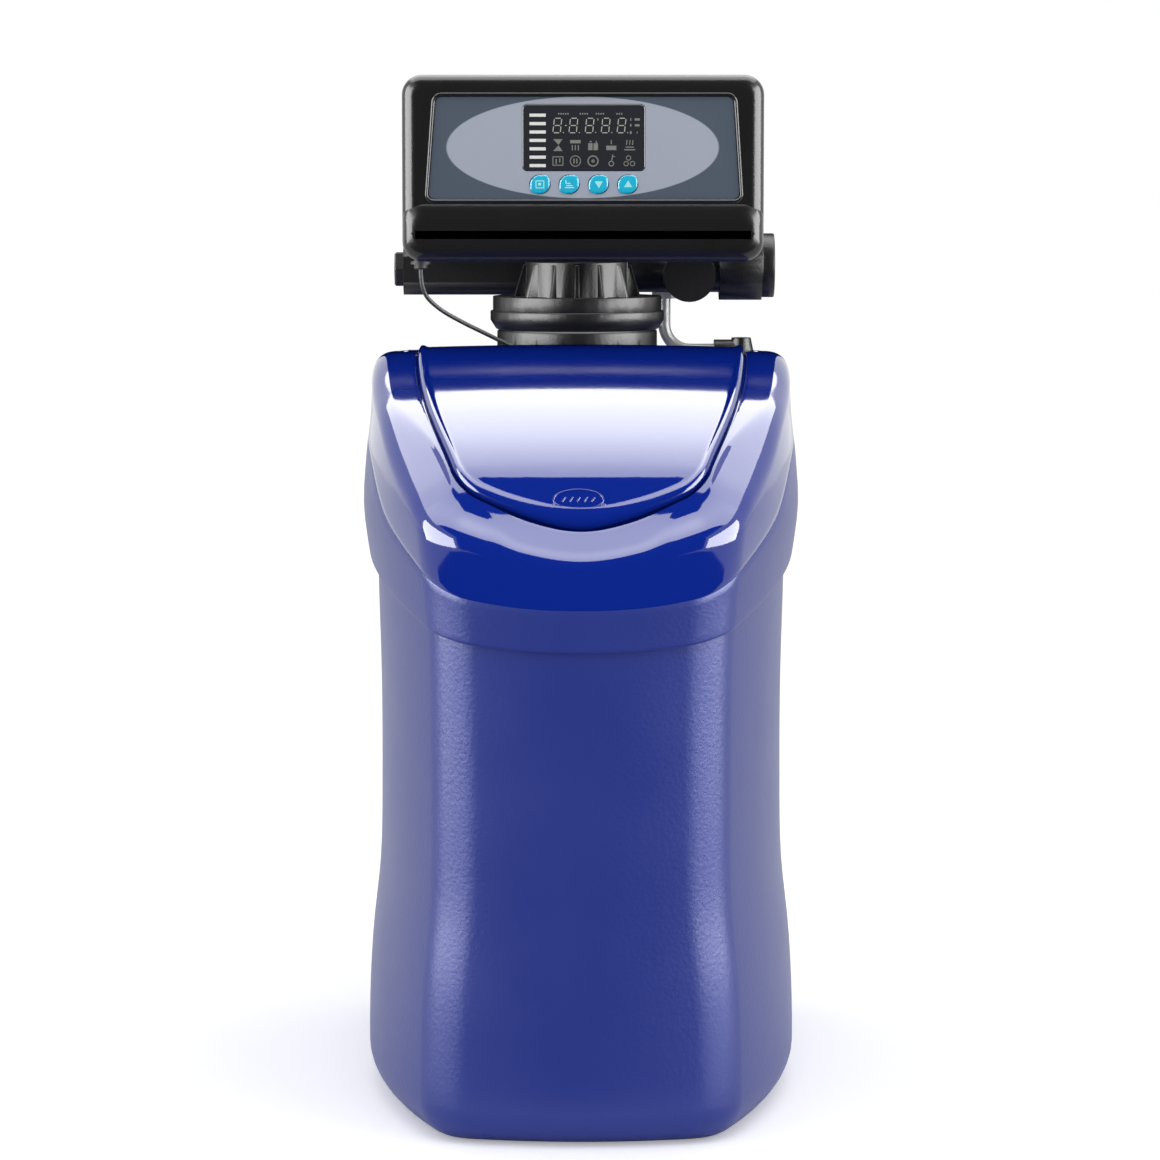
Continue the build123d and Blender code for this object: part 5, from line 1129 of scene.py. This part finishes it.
# Pad-printed ink: pale and matt
key_ink = moulded("pale_key_ink", "#a8f4f4", 0.35, grain=0.5)
key_signs = {
    "menu": (oblong(-2.2, -2.0, 1.6, -1.5), oblong(-2.2, -1.4, -1.7, 2.0),
             oblong(-1.6, 1.5, 2.2, 2.0), oblong(1.7, -2.0, 2.2, 1.4),
             oblong(-0.8, -0.6, 0.6, 0.8)),
    "set": (oblong(-1.9, 0.2, -1.3, 2.2), oblong(-1.2, 0.2, 0.6, 0.8),
            oblong(-2.2, -1.9, 2.4, -1.3), oblong(-1.4, -0.9, 1.6, -0.3)),
    "down": (((0.2, -1.9), (2.2, 1.5), (-1.8, 1.5)),),
    "up": (((0.2, 2.0), (-1.9, -1.4), (2.3, -1.4)),),
}
for x, (name, shapes) in zip(key_places, key_signs.items()):
    cap = bmesh.new()
    loft(cap, [at_depth(leaf(x, shrink), y) for shrink, y in cap_rows])
    stem = Matrix.Translation((x, stem_middle, key_z)) @ Matrix.Rotation(math.pi / 2, 4, "X")
    bmesh.ops.create_cone(cap, cap_ends=True, segments=24, radius1=stem_radius,
                          radius2=stem_radius, depth=stem_length, matrix=stem)
    key = settle(cap, "cap_" + name, key_cyan, sharp=30.0)
    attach(key, name + "_button")
    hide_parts("key_" + name)
    ink = bmesh.new()
    for shape in shapes:
        mark(ink, shape, (x, key_z), key_face - sign_lift, sign_rise)
    sign = settle(ink, "sign_" + name, key_ink)
    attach(sign, name + "_button")
dress(key_cyan, "key_menu", "key_set", "key_down", "key_up")

# Floor: a plain pale sheet that carries the contact shadow
ground = bmesh.new()
bmesh.ops.create_grid(ground, x_segments=1, y_segments=1, size=6000.0)
matt_paper = bpy.data.materials.new("matt_paper")
matt_paper.use_nodes = True
paper_shader = matt_paper.node_tree.nodes["Principled BSDF"]
for socket, value in (("Base Color", linear("#fbfbfb")), ("Roughness", 0.9),
                      ("Specular IOR Level", 0.0), ("Emission Color", (1, 1, 1, 1))):
    paper_shader.inputs[socket].default_value = value
floor_paths = add_node(matt_paper.node_tree, "LightPath")
backdrop = add_node(matt_paper.node_tree, "MapRange", (
    ("Value", floor_paths.outputs["Is Camera Ray"]), ("To Max", 0.3)))
matt_paper.node_tree.links.new(backdrop.outputs[0], paper_shader.inputs["Emission Strength"])
floor = settle(ground, "floor", matt_paper)


# Studio: soft white light from all round and a large softbox above, with bright and dark
# cards that only reflections see, as a photographer sets them round a glossy product
def card(name, middle, size, facing, strength):
    """A flat card that shows in reflections only."""
    build = bmesh.new()
    bmesh.ops.create_grid(build, x_segments=1, y_segments=1, size=0.5)
    turn = Vector((0, 0, 1)).rotation_difference(Vector(facing)).to_matrix().to_4x4()
    bmesh.ops.transform(build, verts=build.verts, matrix=(
        Matrix.Translation(middle) @ turn @ Matrix.Diagonal((*size, 1.0, 1.0))))
    bmesh.ops.scale(build, vec=(1 / mm, 1 / mm, 1 / mm), verts=build.verts)
    material = bpy.data.materials.new(name)
    material.use_nodes = True
    tree = material.node_tree
    tree.nodes.clear()
    glow = add_node(tree, "Emission", (("Color", (1, 1, 1, 1)), ("Strength", strength)))
    add_node(tree, "OutputMaterial", ((0, glow.outputs[0]),))
    piece = settle(build, name, material)
    for ray in ("camera", "diffuse", "shadow", "transmission"):
        setattr(piece, "visible_" + ray, False)


card("overhead_card", (0.0, 0.95, 2.0), (2.6, 2.7), (0, 0, -1), 4.4)
for side in (-1, 1):
    card("side_card_" + "lr"[side > 0], (1.8 * side, -1.05, 0.85), (1.7, 2.5), (-side, 0, 0),
         11.0)
card("camera_flag", (0.0, -2.6, 1.0), (3.4, 3.4), (0, 1, 0), 0.0)
card("ceiling_flag", (0.0, -1.7, 2.1), (4.0, 2.4), (0, 0, -1), 0.0)
card("floor_flag", (0.0, -1.45, 0.001), (2.0, 2.4), (0, 0, 1), 0.0)
# A dark card behind the control box paints the box's dark reflection on the lid's rear, since
# the box itself is hidden from reflections below
card("painted_box_reflection_card", (0.0, 0.12, 0.42), (0.24, 0.12), (0, -1, 0), 0.0)
# The polished cover shows the cards alone, not the head that stands over it
shown = {cabinet, cover, lid, badge}
for piece in bpy.context.scene.objects:
    if piece not in shown and piece.type in ("MESH", "CURVE") and piece.visible_camera:
        piece.visible_glossy = False
floor.visible_glossy = True

world = bpy.data.worlds.new("studio")
bpy.context.scene.world = world
world.use_nodes = True
sky = world.node_tree
sky.nodes.clear()
paths = add_node(sky, "LightPath")
seen = paths.outputs["Is Camera Ray"]
for kind in ("Is Glossy Ray", "Is Transmission Ray"):
    seen = add_node(sky, "Math", ((0, seen), (1, paths.outputs[kind])),
                    operation="MAXIMUM").outputs[0]
soft, white = (add_node(sky, "Background", (("Color", (1, 1, 1, 1)), ("Strength", strength)))
               for strength in (0.8, 1.0))
either = add_node(sky, "MixShader", ((0, seen), (1, soft.outputs[0]), (2, white.outputs[0])))
add_node(sky, "OutputWorld", ((0, either.outputs[0]),))

softbox = bpy.data.lights.new("softbox", "AREA")
softbox.shape = "RECTANGLE"
softbox.size = 1.6
softbox.size_y = 1.2
softbox.energy = 9.0
lamp = put("softbox", softbox)
lamp.location = (0.3, -1.0, 2.1)
lamp.rotation_euler = Vector((0.3, -1.0, 1.8)).to_track_quat("Z", "Y").to_euler()
lamp.visible_glossy = False
bpy.context.scene.view_settings.view_transform = "Standard"
